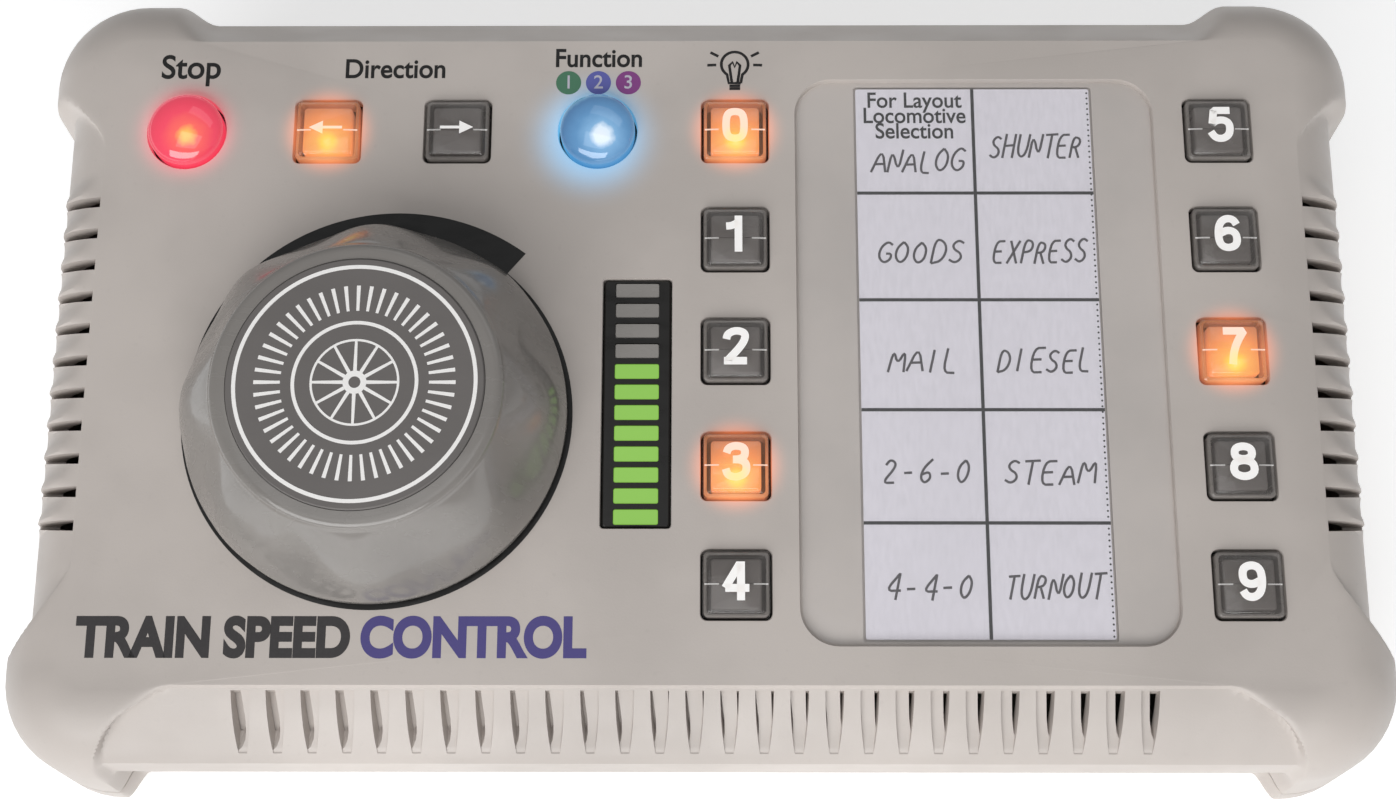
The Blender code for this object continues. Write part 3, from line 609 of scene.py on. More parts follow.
def at_height(outline: list[Point2], height: float) -> list[tuple]:
    """A plan outline as a ring at a height."""
    return [(x, y, height) for x, y in outline]


def prism(builder: BMesh, outline: list[Point2], low: float, high: float) -> None:
    """A straight solid over a plan outline."""
    loft(builder, [at_height(outline, low), at_height(outline, high)])


def link(name: str, data: bpy.types.ID) -> Object:
    """A new object over a data block, linked into the scene."""
    made = bpy.data.objects.new(name, data)
    bpy.context.scene.collection.objects.link(made)
    return made


def piece(name: str, builder: BMesh, material: Material, place: Matrix | None = None,
          sharp: float = CRISP_ANGLE) -> Object:
    """Turn a filled bmesh into a finished object at the origin.

    Args:
        name: The object's name.
        builder: The mesh, which is freed.
        material: Its finish.
        place: Where it goes, baked into the mesh.
        sharp: Edges over this many degrees stay crisp.

    Returns:
        The linked object.
    """
    bmesh.ops.recalc_face_normals(builder, faces=builder.faces)
    if place is not None:
        builder.transform(place)
    mesh = bpy.data.meshes.new(name)
    builder.to_mesh(mesh)
    builder.free()
    mesh.shade_smooth()
    mesh.set_sharp_from_angle(angle=math.radians(sharp))
    mesh.materials.append(material)
    return link(name, mesh)


def live_mesh(item: Object) -> bpy.types.Mesh:
    """A copy of an object's mesh with its modifiers applied."""
    bpy.context.view_layer.update()
    return bpy.data.meshes.new_from_object(item.evaluated_get(bpy.context.evaluated_depsgraph_get()))


def settle(item: Object, sharp: float = CRISP_ANGLE) -> Object:
    """Replace an object's mesh by its evaluated one and drop its modifiers.

    Args:
        item: The object with live modifiers.
        sharp: Edges over this many degrees stay crisp.

    Returns:
        The same object.
    """
    mesh = live_mesh(item)
    item.modifiers.clear()
    item.data = mesh
    mesh.shade_smooth()
    mesh.set_sharp_from_angle(angle=math.radians(sharp))
    return item


def carve(target: Object, cutters: list[Object], sharp: float = CRISP_ANGLE) -> Object:
    """Subtract cutters from a target and remove them.

    Args:
        target: The object to cut.
        cutters: Closed objects to take away.
        sharp: Edges over this many degrees stay crisp.

    Returns:
        The cut target.
    """
    for cutter in cutters:
        step = target.modifiers.new(cutter.name, "BOOLEAN")
        step.operation = "DIFFERENCE"
        step.solver = "MANIFOLD"
        step.object = cutter
    settle(target, sharp)
    for cutter in cutters:
        bpy.data.objects.remove(cutter, do_unlink=True)
    return target


def flatten(name: str, curve: bpy.types.Curve, material: Material, place: Matrix) -> Object:
    """Turn a curve or lettering into a plain mesh.

    Args:
        name: The object's name.
        curve: The curve or lettering.
        material: Its ink.
        place: Where it goes, baked into the mesh.

    Returns:
        The mesh's object.
    """
    holder = link(name, curve)
    mesh = live_mesh(holder)
    bpy.data.objects.remove(holder, do_unlink=True)
    mesh.transform(place)
    mesh.materials.clear()
    mesh.materials.append(material)
    return link(name, mesh)


def printed_text(words: str, size: float, material: Material, place: Matrix, name: str,
                 weight: float = 0.0, stretch: float = 1.0) -> Object:
    """Flat lettering as a thin mesh, centred on its place.

    Args:
        words: What it says.
        size: Letter size.
        material: Its ink.
        place: Where it goes, baked into the mesh.
        name: The object's name.
        weight: How much the strokes are fattened.
        stretch: Width of the letters against their height.

    Returns:
        The lettering object.
    """
    font = bpy.data.curves.new(name, "FONT")
    font.body = words
    font.size = size
    font.align_x = "CENTER"
    font.align_y = "CENTER"
    font.offset = weight
    font.extrude = INK_THICKNESS / 2
    return flatten(name, font, material, place @ Matrix.Diagonal((stretch, 1.0, 1.0, 1.0)))


def ribbon(builder: BMesh, points: list[Point2], width: float, closed: bool = False,
           thick: float = INK_THICKNESS) -> None:
    """A flat band of even width along a line, with square ends.

    Args:
        builder: The mesh to add to.
        points: The line.
        width: The band's width.
        closed: Whether the line runs back into its start.
        thick: The band's thickness.
    """
    count = len(points)
    rings = []
    for i, (x, y) in enumerate(points):
        before = points[i - 1] if closed or i > 0 else points[0]
        after = points[(i + 1) % count] if closed or i < count - 1 else points[-1]
        along_in = Vector((x - before[0], y - before[1]))
        along_out = Vector((after[0] - x, after[1] - y))
        along_in = along_in if along_in.length > 1e-9 else along_out
        along_out = along_out if along_out.length > 1e-9 else along_in
        across = (along_in.normalized() + along_out.normalized()).normalized()
        spread = width / 2 / max(across.dot(along_in.normalized()), 0.5)
        dx, dy = -across.y * spread, across.x * spread
        left, right = (x + dx, y + dy), (x - dx, y - dy)
        rings.append([(*left, 0.0), (*right, 0.0), (*right, thick), (*left, thick)])
    if closed:
        tube(builder, rings)
    else:
        loft(builder, rings)


def smooth(points: list[Point2], closed: bool = False) -> list[Point2]:
    """Round a line's corners twice.

    Args:
        points: The line.
        closed: Whether it runs back into its start. An open line keeps its ends.

    Returns:
        The rounder line.
    """
    for _ in range(2):
        if not closed and len(points) < 3:
            return points
        ahead = points[1:] + points[:1] if closed else points[1:]
        rounder = []
        for (ax, ay), (bx, by) in zip(points, ahead):
            for share in (0.25, 0.75):
                rounder.append((ax * (1 - share) + bx * share, ay * (1 - share) + by * share))
        points = rounder if closed else [points[0]] + rounder + [points[-1]]
    return points


def pen_lines(strokes: list[list[tuple]], radius: float, material: Material, place: Matrix,
              name: str) -> Object:
    """Round-ended lines drawn along strokes, as one mesh.

    Args:
        strokes: Each stroke's points.
        radius: Half the line's width.
        material: Its ink.
        place: Where the drawing goes, baked into the mesh.
        name: The object's name.

    Returns:
        The drawing object.
    """
    curve = bpy.data.curves.new(name, "CURVE")
    curve.dimensions = "3D"
    curve.bevel_depth = radius
    curve.bevel_resolution = 1
    curve.use_fill_caps = True
    for stroke in strokes:
        spline = curve.splines.new("POLY")
        spline.points.add(len(stroke) - 1)
        for point, (x, y) in zip(spline.points, stroke):
            point.co = (x, y, 0.0, 1.0)
    return flatten(name, curve, material, place @ Matrix.Diagonal((1.0, 1.0, PEN_FLATNESS, 1.0)))


# ---- repeats by geometry nodes
@dataclass
class Row:
    """Copies of one shape, each moved by a step and turned by an angle from the last."""

    name: str
    count: int
    start: Vector
    step: Vector
    turn: float = 0.0

    def tree(self) -> bpy.types.NodeTree:
        """Build the row's node group, with named inputs for its sizes.

        Returns:
            The group.
        """
        group = bpy.data.node_groups.new(self.name, "GeometryNodeTree")
        face = group.interface
        face.new_socket("Geometry", in_out="INPUT", socket_type="NodeSocketGeometry")
        for label, kind in (("Count", "Int"), ("Start", "Vector"), ("Step", "Vector"), ("Turn", "Float"),
                            ("Finish", "Material")):
            face.new_socket(label, in_out="INPUT", socket_type=f"NodeSocket{kind}")
        face.new_socket("Geometry", in_out="OUTPUT", socket_type="NodeSocketGeometry")
        new = group.nodes.new
        source, result = new("NodeGroupInput"), new("NodeGroupOutput")
        line, copies = new("GeometryNodeMeshLine"), new("GeometryNodeInstanceOnPoints")
        index, angle, spin = new("GeometryNodeInputIndex"), new("ShaderNodeMath"), new("ShaderNodeCombineXYZ")
        real, finish = new("GeometryNodeRealizeInstances"), new("GeometryNodeSetMaterial")
        angle.operation = "MULTIPLY"
        join = group.links.new
        join(source.outputs["Count"], line.inputs["Count"])
        join(source.outputs["Start"], line.inputs["Start Location"])
        join(source.outputs["Step"], line.inputs["Offset"])
        join(index.outputs[0], angle.inputs[0])
        join(source.outputs["Turn"], angle.inputs[1])
        join(angle.outputs[0], spin.inputs["Z"])
        join(line.outputs["Mesh"], copies.inputs["Points"])
        join(source.outputs["Geometry"], copies.inputs["Instance"])
        join(spin.outputs[0], copies.inputs["Rotation"])
        join(copies.outputs["Instances"], real.inputs["Geometry"])
        join(real.outputs["Geometry"], finish.inputs["Geometry"])
        join(source.outputs["Finish"], finish.inputs["Material"])
        join(finish.outputs["Geometry"], result.inputs["Geometry"])
        return group

    def build(self, shape: BMesh, material: Material, place: Matrix | None = None,
              sharp: float = CRISP_ANGLE) -> Object:
        """Make the row as one plain mesh.

        Args:
            shape: The shape to repeat, which is freed.
            material: Its finish.
            place: Where the row goes, baked into the mesh.
            sharp: Edges over this many degrees stay crisp.

        Returns:
            The row's object.
        """
        made = piece(self.name, shape, material)
        group = self.tree()
        step = made.modifiers.new(self.name, "NODES")
        step.node_group = group
        values = {"Count": self.count, "Start": self.start, "Step": self.step, "Turn": self.turn,
                  "Finish": material}
        for socket in group.interface.items_tree:
            if socket.item_type == "SOCKET" and socket.in_out == "INPUT" and socket.name in values:
                step[socket.identifier] = values[socket.name]
        settle(made, sharp)
        if place is not None:
            made.data.transform(place)
        return made


# ---- the panel's axes
@dataclass(frozen=True)
class PanelAxes:
    """Axes of the sloped panel, found from the knob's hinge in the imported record."""

    slope: float
    origin: Vector

    @classmethod
    def from_record(cls, record: dict, knob_spot: Point2) -> PanelAxes:
        """Work out the panel's axes.

        Args:
            record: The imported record.
            knob_spot: Where the knob's axis stands on the panel.

        Returns:
            The axes.
        """
        hinge = next(j for j in record["behaviour"]["joints"] if j["name"] == "knob_turn")
        normal = Vector(hinge["axis"]).normalized()
        slope = math.atan2(-normal.y, normal.z)
        up_slope = Vector((0.0, math.cos(slope), math.sin(slope)))
        corner = Vector(hinge["pos_m"]) - Vector((knob_spot[0], 0.0, 0.0)) - knob_spot[1] * up_slope
        return cls(slope, corner)

    def matrix(self, x: float = 0.0, v: float = 0.0, w: float = 0.0) -> Matrix:
        """World matrix of axes that stand at a place on the panel."""
        turn = Matrix.Translation(self.origin) @ Matrix.Rotation(self.slope, 4, "X")
        return turn @ Matrix.Translation((x, v, w))

    def point(self, x: float, v: float, w: float = 0.0) -> Vector:
        """World position of a place on the panel."""
        return self.matrix(x, v, w).translation.copy()


# ---- case
@dataclass
class Controls:
    """Where each control stands on the panel, and what its lamp shows."""

    key_pitch: float = 19.0 * MM
    top_row: float = 44.2 * MM
    left_column: float = 5.8 * MM
    right_column: float = 85.8 * MM
    left_key: float = -61.9 * MM
    right_key: float = -40.3 * MM
    stop: float = -85.4 * MM
    function: float = -17.0 * MM
    knob: Point2 = (-51.65 * MM, -4.5 * MM)
    bar: Point2 = (-10.1 * MM, -2.2 * MM)
    card: Point2 = (45.5 * MM, 6.0 * MM)
    lit: tuple[str, ...] = ("key_0", "key_3", "key_7", "direction_key_left")

    def keys(self) -> dict[str, Point2]:
        """Place the square keys.

        Returns:
            The place of each key by its CAD node.
        """
        spots = {}
        for digit in range(10):
            x = self.left_column if digit < 5 else self.right_column
            spots[f"key_{digit}"] = (x, self.top_row - (digit % 5) * self.key_pitch)
        spots["direction_key_left"] = (self.left_key, self.top_row)
        spots["direction_key_right"] = (self.right_key, self.top_row)
        return spots

    def lamp(self, key: str) -> Lamp:
        """What a square key's lamp shows."""
        return Lamp.AMBER if key in self.lit else Lamp.OFF

    def halos(self, axes: PanelAxes) -> tuple[tuple[Vector, Lamp, float], ...]:
        """Lit controls with how far their light spills.

        Args:
            axes: The panel's axes.

        Returns:
            Place, lamp and reach of each.
        """
        found = [(axes.point(*self.keys()[key]), Lamp.AMBER, 10.0 * MM) for key in self.lit]
        found.append((axes.point(self.stop, self.top_row), Lamp.RED, 11.5 * MM))
        found.append((axes.point(self.function - 0.8 * MM, self.top_row - 1.0 * MM), Lamp.BLUE, 15.0 * MM))
        return tuple(found)


@dataclass
class CaseForm:
    """The case's outer surface: a flat panel, four corner pads and a recess on each side."""

    axes: PanelAxes
    half_width: float = 98.7 * MM
    front: float = -47.1 * MM
    rear: float = 60.0 * MM
    corner_radius: float = 3.5 * MM
    pad_radius: float = 12.3 * MM
    side_run: float = 9.0 * MM
    side_lean: float = math.radians(20.0)
    rear_step: float = 7.0 * MM
    front_step: float = 10.65 * MM
    vent_lip: float = 0.8 * MM
    vent_lip_run: float = 0.35 * MM
    vent_foot: float = 8.0 * MM
    vent_floor: float = 14.0 * MM
    vent_undercut: float = 2.65 * MM
    scoop: float = 4.0 * MM
    front_pad_edge: tuple[float, float] = (83.4 * MM, 95.0 * MM)
    front_recess_edge: tuple[float, float] = (81.5 * MM, 93.0 * MM)
    slot_pitch: float = 5.42 * MM
    slot_middle: float = -0.7 * MM
    slot_count: int = 27
    rib_depth: float = 1.35 * MM
    rib_pitch: float = 5.38 * MM
    rib_first: float = 31.8 * MM
    rib_count: int = 11
    rib_reach: float = 9.0 * MM

    def panel_z(self, y: float) -> float:
        """Height of the panel's face over a plan position measured from the panel's origin."""
        return self.axes.origin.z + y * math.tan(self.axes.slope)

    @staticmethod
    def quarter(depth: float, radius: float) -> float:
        """Run of a quarter round at a depth below its top."""
        t = min(max(depth / radius, 0.0), 1.0) if radius > 0 else 1.0
        return radius * math.sqrt(max(1.0 - (1.0 - t) ** 2, 0.0))

    @staticmethod
    def ease(t: float) -> float:
        """Smooth step from 0 to 1."""
        t = min(max(t, 0.0), 1.0)
        return t * t * (3.0 - 2.0 * t)

    def rib(self, y: float, depth: float) -> float:
        """Swell of the louvred ribs on a side.

        Args:
            y: Plan position along the side.
            depth: Depth below the panel.

        Returns:
            How far the surface stands out.
        """
        first = self.rib_first * math.cos(self.axes.slope)
        phase = (y - first) / self.rib_pitch
        if phase > 0.95 or phase < -(self.rib_count - 1) - 0.12:
            return 0.0
        turn = phase - math.floor(phase + 0.1)
        rise = self.ease((turn - 0.04) / 0.28) * (1.0 - self.ease((turn - 0.33) / 0.62))
        fade = self.ease(depth / (1.0 * MM)) * self.ease((self.rib_reach - depth) / (6 * MM))
        return self.rib_depth * rise * fade

    def side_round(self, depth: float) -> float:
        """Run of a side recess, whose surface leaves the panel at a crisp angle."""
        radius = self.side_run / (1.0 - math.sin(self.side_lean))
        drop = max(math.cos(self.side_lean) - depth / radius, 0.0)
        return radius * (math.sqrt(1.0 - drop * drop) - math.sin(self.side_lean))

    def front_round(self, depth: float) -> float:
        """Run of the front recess: an upright lip, a slope, an upright foot and an undercut."""
        if depth <= self.vent_lip:
            return self.vent_lip_run * max(depth, 0.0) / self.vent_lip
        t = min((depth - self.vent_lip) / (self.vent_foot - self.vent_lip), 1.0)
        slope = self.vent_lip_run + (self.front_step - self.vent_lip_run) * (1.0 - (1.0 - t) ** 1.25)
        return slope - self.vent_undercut * self.ease((depth - self.vent_floor) / (5 * MM))

    def recess_share(self, x: float, y: float, side: str, depth: float) -> float:
        """0 on a corner pad and 1 in a recess, with a curved step between.

        Args:
            x: Plan position across.
            y: Plan position along.
            side: Which side of the case.
            depth: Depth below the panel.

        Returns:
            The share.
        """
        if side == "side":
            front_end = -26.5 * MM - self.quarter(depth, 8 * MM) * 11.0 / 8.0
            rear_end = 40 * MM + self.quarter(depth, 7 * MM) * 9.0 / 7.0
            return self.ease((y - front_end) / self.scoop + 1) * self.ease((rear_end - y) / self.scoop + 1)
        if side == "rear":
            return self.ease((83 * MM - abs(x)) / (1.8 * self.scoop) + 1)
        belly = 7 * MM
        drop = (depth - belly) / (6 * MM if depth < belly else 45 * MM)
        low, high = self.front_recess_edge
        full = low + (high - low) * math.sqrt(max(1.0 - drop * drop, 0.0))
        low, high = self.front_pad_edge
        end = low + (high - low) * min(max(depth, 0.0) / (8 * MM), 1.0) ** 0.2
        return self.ease((end - abs(x)) / (end - full))

    def run_out(self, x: float, y: float, side: str, depth: float, wall: float = 0.0) -> float:
        """Distance from the flat panel's edge out to the surface.

        Args:
            x: Plan position across of the flat edge.
            y: Plan position along of the flat edge.
            side: Which side of the case.
            depth: Depth below the panel.
            wall: How far inside the outer surface.

        Returns:
            The distance.
        """
        inner = depth - wall
        pad = self.quarter(inner, self.pad_radius - wall)
        if side == "corner":
            return pad
        if side == "side":
            recess = self.side_round(max(inner, 0.0)) * (1.0 - wall / self.side_run)
            if wall == 0.0:
                recess += self.rib(y, depth)
        elif side == "rear":
            recess = max(min(depth * 1.15, self.rear_step) - wall, 0.0)
        else:
            recess = min(max(self.front_round(depth) - wall, 0.0), self.front_round(inner))
        return pad + (recess - pad) * self.recess_share(x, y, side, depth)

    def outline(self, fine: float) -> list[tuple[float, float, Point2, str]]:
        """Stations round the flat panel.

        Args:
            fine: Spacing of the stations where the form changes.

        Returns:
            Plan position, outward normal and side of each, anticlockwise.
        """
        hw = self.half_width - self.corner_radius
        low, high = self.front + self.corner_radius, self.rear - self.corner_radius
        side = spaced(low, high, fine * 0.8)
        plain, bend = 78 * MM, 76 * MM
        rear = spaced(-hw, -plain, fine) + spaced(-plain, plain, 6 * MM)[1:-1] + spaced(plain, hw, fine)
        front = spaced(-hw, -bend, fine / 3) + spaced(-bend, bend, 4 * MM)[1:-1]
        front += spaced(bend, hw, fine / 3)
        steps = max(int(12 * MM / fine), 6)
        found = [(self.half_width, y, (1.0, 0.0), "side") for y in side[1:-1]]
        found += self.corner(hw, high, 0, steps)
        found += [(x, self.rear, (0.0, 1.0), "rear") for x in rear[-2:0:-1]]
        found += self.corner(-hw, high, 90, steps)
        found += [(-self.half_width, y, (-1.0, 0.0), "side") for y in side[-2:0:-1]]
        found += self.corner(-hw, low, 180, steps)
        found += [(x, self.front, (0.0, -1.0), "front") for x in front[1:-1]]
        return found + self.corner(hw, low, 270, steps)

    def corner(self, cx: float, cy: float, start: int, steps: int) -> list[tuple[float, float, Point2, str]]:
        """Stations round one corner of the flat panel.

        Args:
            cx: Corner centre across.
            cy: Corner centre along.
            start: First angle in degrees.
            steps: Segments.

        Returns:
            The stations.
        """
        found = []
        for k in range(steps + 1):
            angle = math.radians(start + 90.0 * k / steps)
            nx, ny = math.cos(angle), math.sin(angle)
            found.append((cx + self.corner_radius * nx, cy + self.corner_radius * ny, (nx, ny), "corner"))
        return found

    def ring(self, stations: list, depth_of: object, wall: float = 0.0, inset: float = 0.0) -> list[tuple]:
        """One ring of the surface.

        Args:
            stations: Stations from outline.
            depth_of: Function from plan y to the depth below the panel.
            wall: How far inside the outer surface.
            inset: Extra distance inwards.

        Returns:
            World points.
        """
        points = []
        for x, y, normal, side in stations:
            depth = depth_of(y)
            out = self.run_out(x, y, side, depth, wall) - inset
            along = y + normal[1] * out + self.axes.origin.y
            points.append((x + normal[0] * out, along, self.panel_z(y) - depth))
        return points


BARREL_SOCKETS = ("power_socket", "track_socket")
MODULAR_SOCKETS = ("walkaround_socket", "booster_socket")


def spaced(low: float, high: float, step: float) -> list[float]:
    """Even positions from low to high, about a step apart."""
    count = max(int(round((high - low) / step)), 1)
    return [low + (high - low) * i / count for i in range(count + 1)]


@dataclass
class Case:
    """Both covers with their vents, holes, feet and screws."""

    axes: PanelAxes
    controls: Controls
    form: CaseForm
    finish: Material
    rubber: Material
    metal: Material
    parting: float = 9.0 * MM
    foot_height: float = 3.0 * MM
    skin: float = 2.6 * MM
    tray_wall: float = 2.2 * MM
    fine: float = 1.0 * MM
    coarse: float = 3.0 * MM
    key_hole: float = 11.2 * MM
    dome_hole_radius: float = 6.55 * MM
    knob_hole_radius: float = 5.1 * MM
    bar_hole: Point2 = (11.2 * MM, 41.3 * MM)
    recess_size: Point2 = (59.3 * MM, 94.6 * MM)
    channel_size: Point2 = (39.8 * MM, 93.2 * MM)

    def rows(self) -> list[float]:
        """Returns: depths, in pad radii up to 1 and then in shares of what is left up to 2."""
        round_rows = [1.0 - math.cos(math.radians(90.0 * i / 26)) for i in range(27)]
        return round_rows + [1.0 + i / 22 for i in range(1, 23)]

    def depth(self, row: float, y: float, bottom: float) -> float:
        """Depth below the panel of a row.

        Args:
            row: A value of rows.
            y: Plan position along.
            bottom: Height at which the surface ends.

        Returns:
            The depth.
        """
        radius = self.form.pad_radius
        full = self.form.panel_z(y) - bottom
        return row * radius if row <= 1.0 else radius + (row - 1.0) * (full - radius)

    def build_top(self) -> None:
        """Make the upper cover with every vent and hole."""
        stations = self.form.outline(self.fine)
        rings = []
        for row in self.rows()[::-1]:
            rings.append(self.form.ring(stations, lambda y, r=row: self.depth(r, y, self.parting)))
        builder = bmesh.new()
        loft(builder, rings)
        cover = piece("upper_cover", builder, self.finish)
        coarse = self.form.outline(self.coarse)
        inner = bmesh.new()
        shares = (0.0, 0.04, 0.1, 0.18, 0.28, 0.4, 0.52, 0.64, 0.76, 0.88, 1.0)
        hollow = []
        for share in shares[::-1]:
            hollow.append(self.form.ring(coarse, lambda y, s=share: self.hollow_depth(y, s), self.skin))
        loft(inner, hollow)
        cutters = [piece("hollow", inner, self.finish)]
        cutters += [self.panel_holes(), self.card_recess(), self.card_channel(), self.seam()]
        cutters += [self.front_slots(), self.side_slots(1), self.side_slots(-1), self.socket_holes()]
        carve(cover, cutters, 28.0)
        mount(cover, "console", "case", "top_cover")

    def hollow_depth(self, y: float, share: float) -> float:
        """Depth of the inner surface at a share of its height."""
        return self.skin + (self.form.panel_z(y) - self.parting + 1 * MM - self.skin) * share

    def seam(self) -> Object:
        """Shape the groove that breaks the lower rim's outer edge.

        Returns:
            The cutter.
        """
        stations = self.form.outline(self.coarse)
        outer = self.form.ring(stations, lambda y: self.form.panel_z(y) - self.parting, 0.0, -3 * MM)
        inner = self.form.ring(stations, lambda y: self.form.panel_z(y) - self.parting, 0.0, 0.35 * MM)
        foot, top = self.parting - 1 * MM, self.parting + 0.35 * MM
        builder = bmesh.new()
        tube(builder, [[(x, y, z) for x, y, _ in ring]
                       for ring, z in ((outer, foot), (outer, top), (inner, top), (inner, foot))])
        return piece("seam", builder, self.finish)

    def panel_holes(self) -> Object:
        """Shape the holes of the keys, domes, knob and bar graph, with broken edges.

        Returns:
            The cutter.
        """
        builder = bmesh.new()
        edge = 0.22 * MM

        def hole(outline_of: object) -> None:
            """Add one hole whose mouth widens at the panel's face."""
            straight, wide = outline_of(0.0), outline_of(2 * edge)
            loft(builder, [at_height(straight, -6 * MM), at_height(straight, -edge), at_height(wide, edge)])

        for spot in self.controls.keys().values():
            hole(lambda grow, s=spot: rounded(self.key_hole + grow, self.key_hole + grow, 1.1 * MM, 5, s))
        for x in (self.controls.stop, self.controls.function):
            hole(lambda grow, c=x: circle(self.dome_hole_radius + grow / 2, 64, (c, self.controls.top_row)))
        hole(lambda grow: circle(self.knob_hole_radius + grow / 2, 32, self.controls.knob))
        bar_width, bar_length = self.bar_hole
        hole(lambda grow: rounded(bar_width + grow, bar_length + grow, 0.6 * MM, 4, self.controls.bar))
        return piece("holes", builder, self.finish, self.axes.matrix())

    def card_recess(self) -> Object:
        """Shape the shallow recess that the card's window lies in.

        Returns:
            The cutter.
        """
        builder = bmesh.new()
        edge = 0.3 * MM
        size = self.recess_size
        rings = [(size, 6.0 * MM, -1.3 * MM), (size, 6.0 * MM, -edge),
                 ((size[0] + 2 * edge, size[1] + 2 * edge), 6.3 * MM, edge)]
        loft(builder, [at_height(rounded(*s, r, 12, self.controls.card), w) for s, r, w in rings])
        return piece("recess", builder, self.finish, self.axes.matrix())

    def card_channel(self) -> Object:
        """Shape the deeper channel under the card.

        Returns:
            The cutter.
        """
        builder = bmesh.new()
        outline = rounded(*self.channel_size, 0.5 * MM, 3, self.controls.card)
        prism(builder, outline, -1.9 * MM, 3 * MM)
        return piece("channel", builder, self.finish, self.axes.matrix())

    def front_slots(self) -> Object:
        """Shape the row of tapering vent slots in the front.

        Returns:
            The cutter.
        """
        z_edge = self.form.panel_z(self.form.front)
        y_edge = self.form.front + self.axes.origin.y
        builder = bmesh.new()
        top, foot, steps = 0.95 * MM, 6.6 * MM, 10
        right = []
        for k in range(steps + 1):
            t = k / steps
            half = (1.45 - 0.8 * t ** 2.0) * MM
            right.append((half, z_edge - top - (foot - top) * t))
        outline = right + [(-x, z) for x, z in right[::-1]]
        loft(builder, [[(x, y, z) for x, z in outline] for y in (y_edge - 12 * MM, y_edge - 0.45 * MM)])
        return self.slot_row("front_slots", 1.0).build(builder, self.finish)

    def slot_row(self, name: str, share: float) -> Row:
        """A row along the front vents, its pitch a share of the slots' pitch."""
        pitch, count = self.form.slot_pitch * share, self.form.slot_count
        start = Vector((self.form.slot_middle - (count - 1) / 2 * pitch, 0, 0))
        return Row(name, count, start, Vector((pitch, 0, 0)))

    def side_slots(self, sign: int) -> Object:
        """The slits in front of a side's ribs, as a cutter.

        Args:
            sign: 1 for the right side, -1 for the left.

        Returns:
            The cutter.
        """
        form, pitch = self.form, self.form.rib_pitch
        y0 = form.rib_first * math.cos(self.axes.slope)
        z0 = form.panel_z(y0) + 0.4 * MM
        builder = bmesh.new()
        across = [sign * (form.half_width + reach * MM) for reach in (0.2, 12.0)]
        half, sweep, deep = 0.95 * MM, 2.4 * MM, 9 * MM
        profile = [(-half, z0), (half, z0), (sweep + 0.15 * MM, z0 - deep), (sweep - 0.25 * MM, z0 - deep)]
        y = y0 + self.axes.origin.y - 0.1 * MM
        loft(builder, [[(x, y + along, z) for along, z in profile] for x in across])
        step = Vector((0, -pitch, -pitch * math.tan(self.axes.slope)))
        return Row("side_slots", form.rib_count, Vector((0, 0, 0)), step).build(builder, self.finish)

    def socket_holes(self) -> Object:
        """Shape the socket openings in the rear wall.

        Returns:
            The cutter.
        """
        builder = bmesh.new()
        gap, height = 0.3 * MM, 12.0 * MM
        for node in BARREL_SOCKETS + MODULAR_SOCKETS:
            low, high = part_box(node)
            centre, width = (low.x + high.x) / 2, high.x - low.x
            if node in BARREL_SOCKETS:
                ring = circle(width / 2 + gap, 48, (centre, high.z - width / 2))
            else:
                ring = rounded(width + 2 * gap, height + 2 * gap, 0.5 * MM, 3, (centre, high.z - height / 2))
            loft(builder, [[(x, y, z) for x, z in ring] for y in (high.y - 5 * MM, high.y + 3 * MM)])
        return piece("socket_holes", builder, self.finish)

    def build_tray(self) -> None:
        """Make the lower cover, whose rim carries on the upper cover's outline."""
        form = self.form
        stations = form.outline(self.fine)
        builder = bmesh.new()
        edge = ((0.0, 1.5), (0.1, 1.0), (0.45, 0.42), (0.9, 0.1), (1.5, 0.0))
        levels = [(self.foot_height + rise * MM, inset) for rise, inset in edge]
        levels += [(self.parting - 0.65 * MM, 0.0), (self.parting - 0.3 * MM, 0.3)]
        loft(builder, [form.ring(stations, lambda y, z=z: form.panel_z(y) - z, 0.0, inset * MM)
                       for z, inset in levels])
        tray = piece("lower_cover", builder, self.finish)
        coarse = form.outline(self.coarse)
        inner = bmesh.new()
        loft(inner, [form.ring(coarse, lambda y, z=z: form.panel_z(y) - z, 0.0, self.tray_wall)
                     for z in (self.foot_height + self.tray_wall, self.parting + 1 * MM)])
        slots = bmesh.new()
        prism(slots, rounded(3 * MM, 40 * MM, 1.49 * MM, 6, (0, -10 * MM)), 0.0, 8 * MM)
        row = Row("tray_slots", 9, Vector((-36 * MM, 0, 0)), Vector((9 * MM, 0, 0))).build(slots, self.finish)
        wells = bmesh.new()
        for i in range(1, 5):
            prism(wells, circle(2.1 * MM, 32, plan_centre(f"case_screw_{i}")), 0.0, 8 * MM)
        carve(tray, [piece("tray_hollow", inner, self.finish), row, piece("wells", wells, self.finish)], 28.0)
        mount(tray, "console", "case", "bottom_cover")

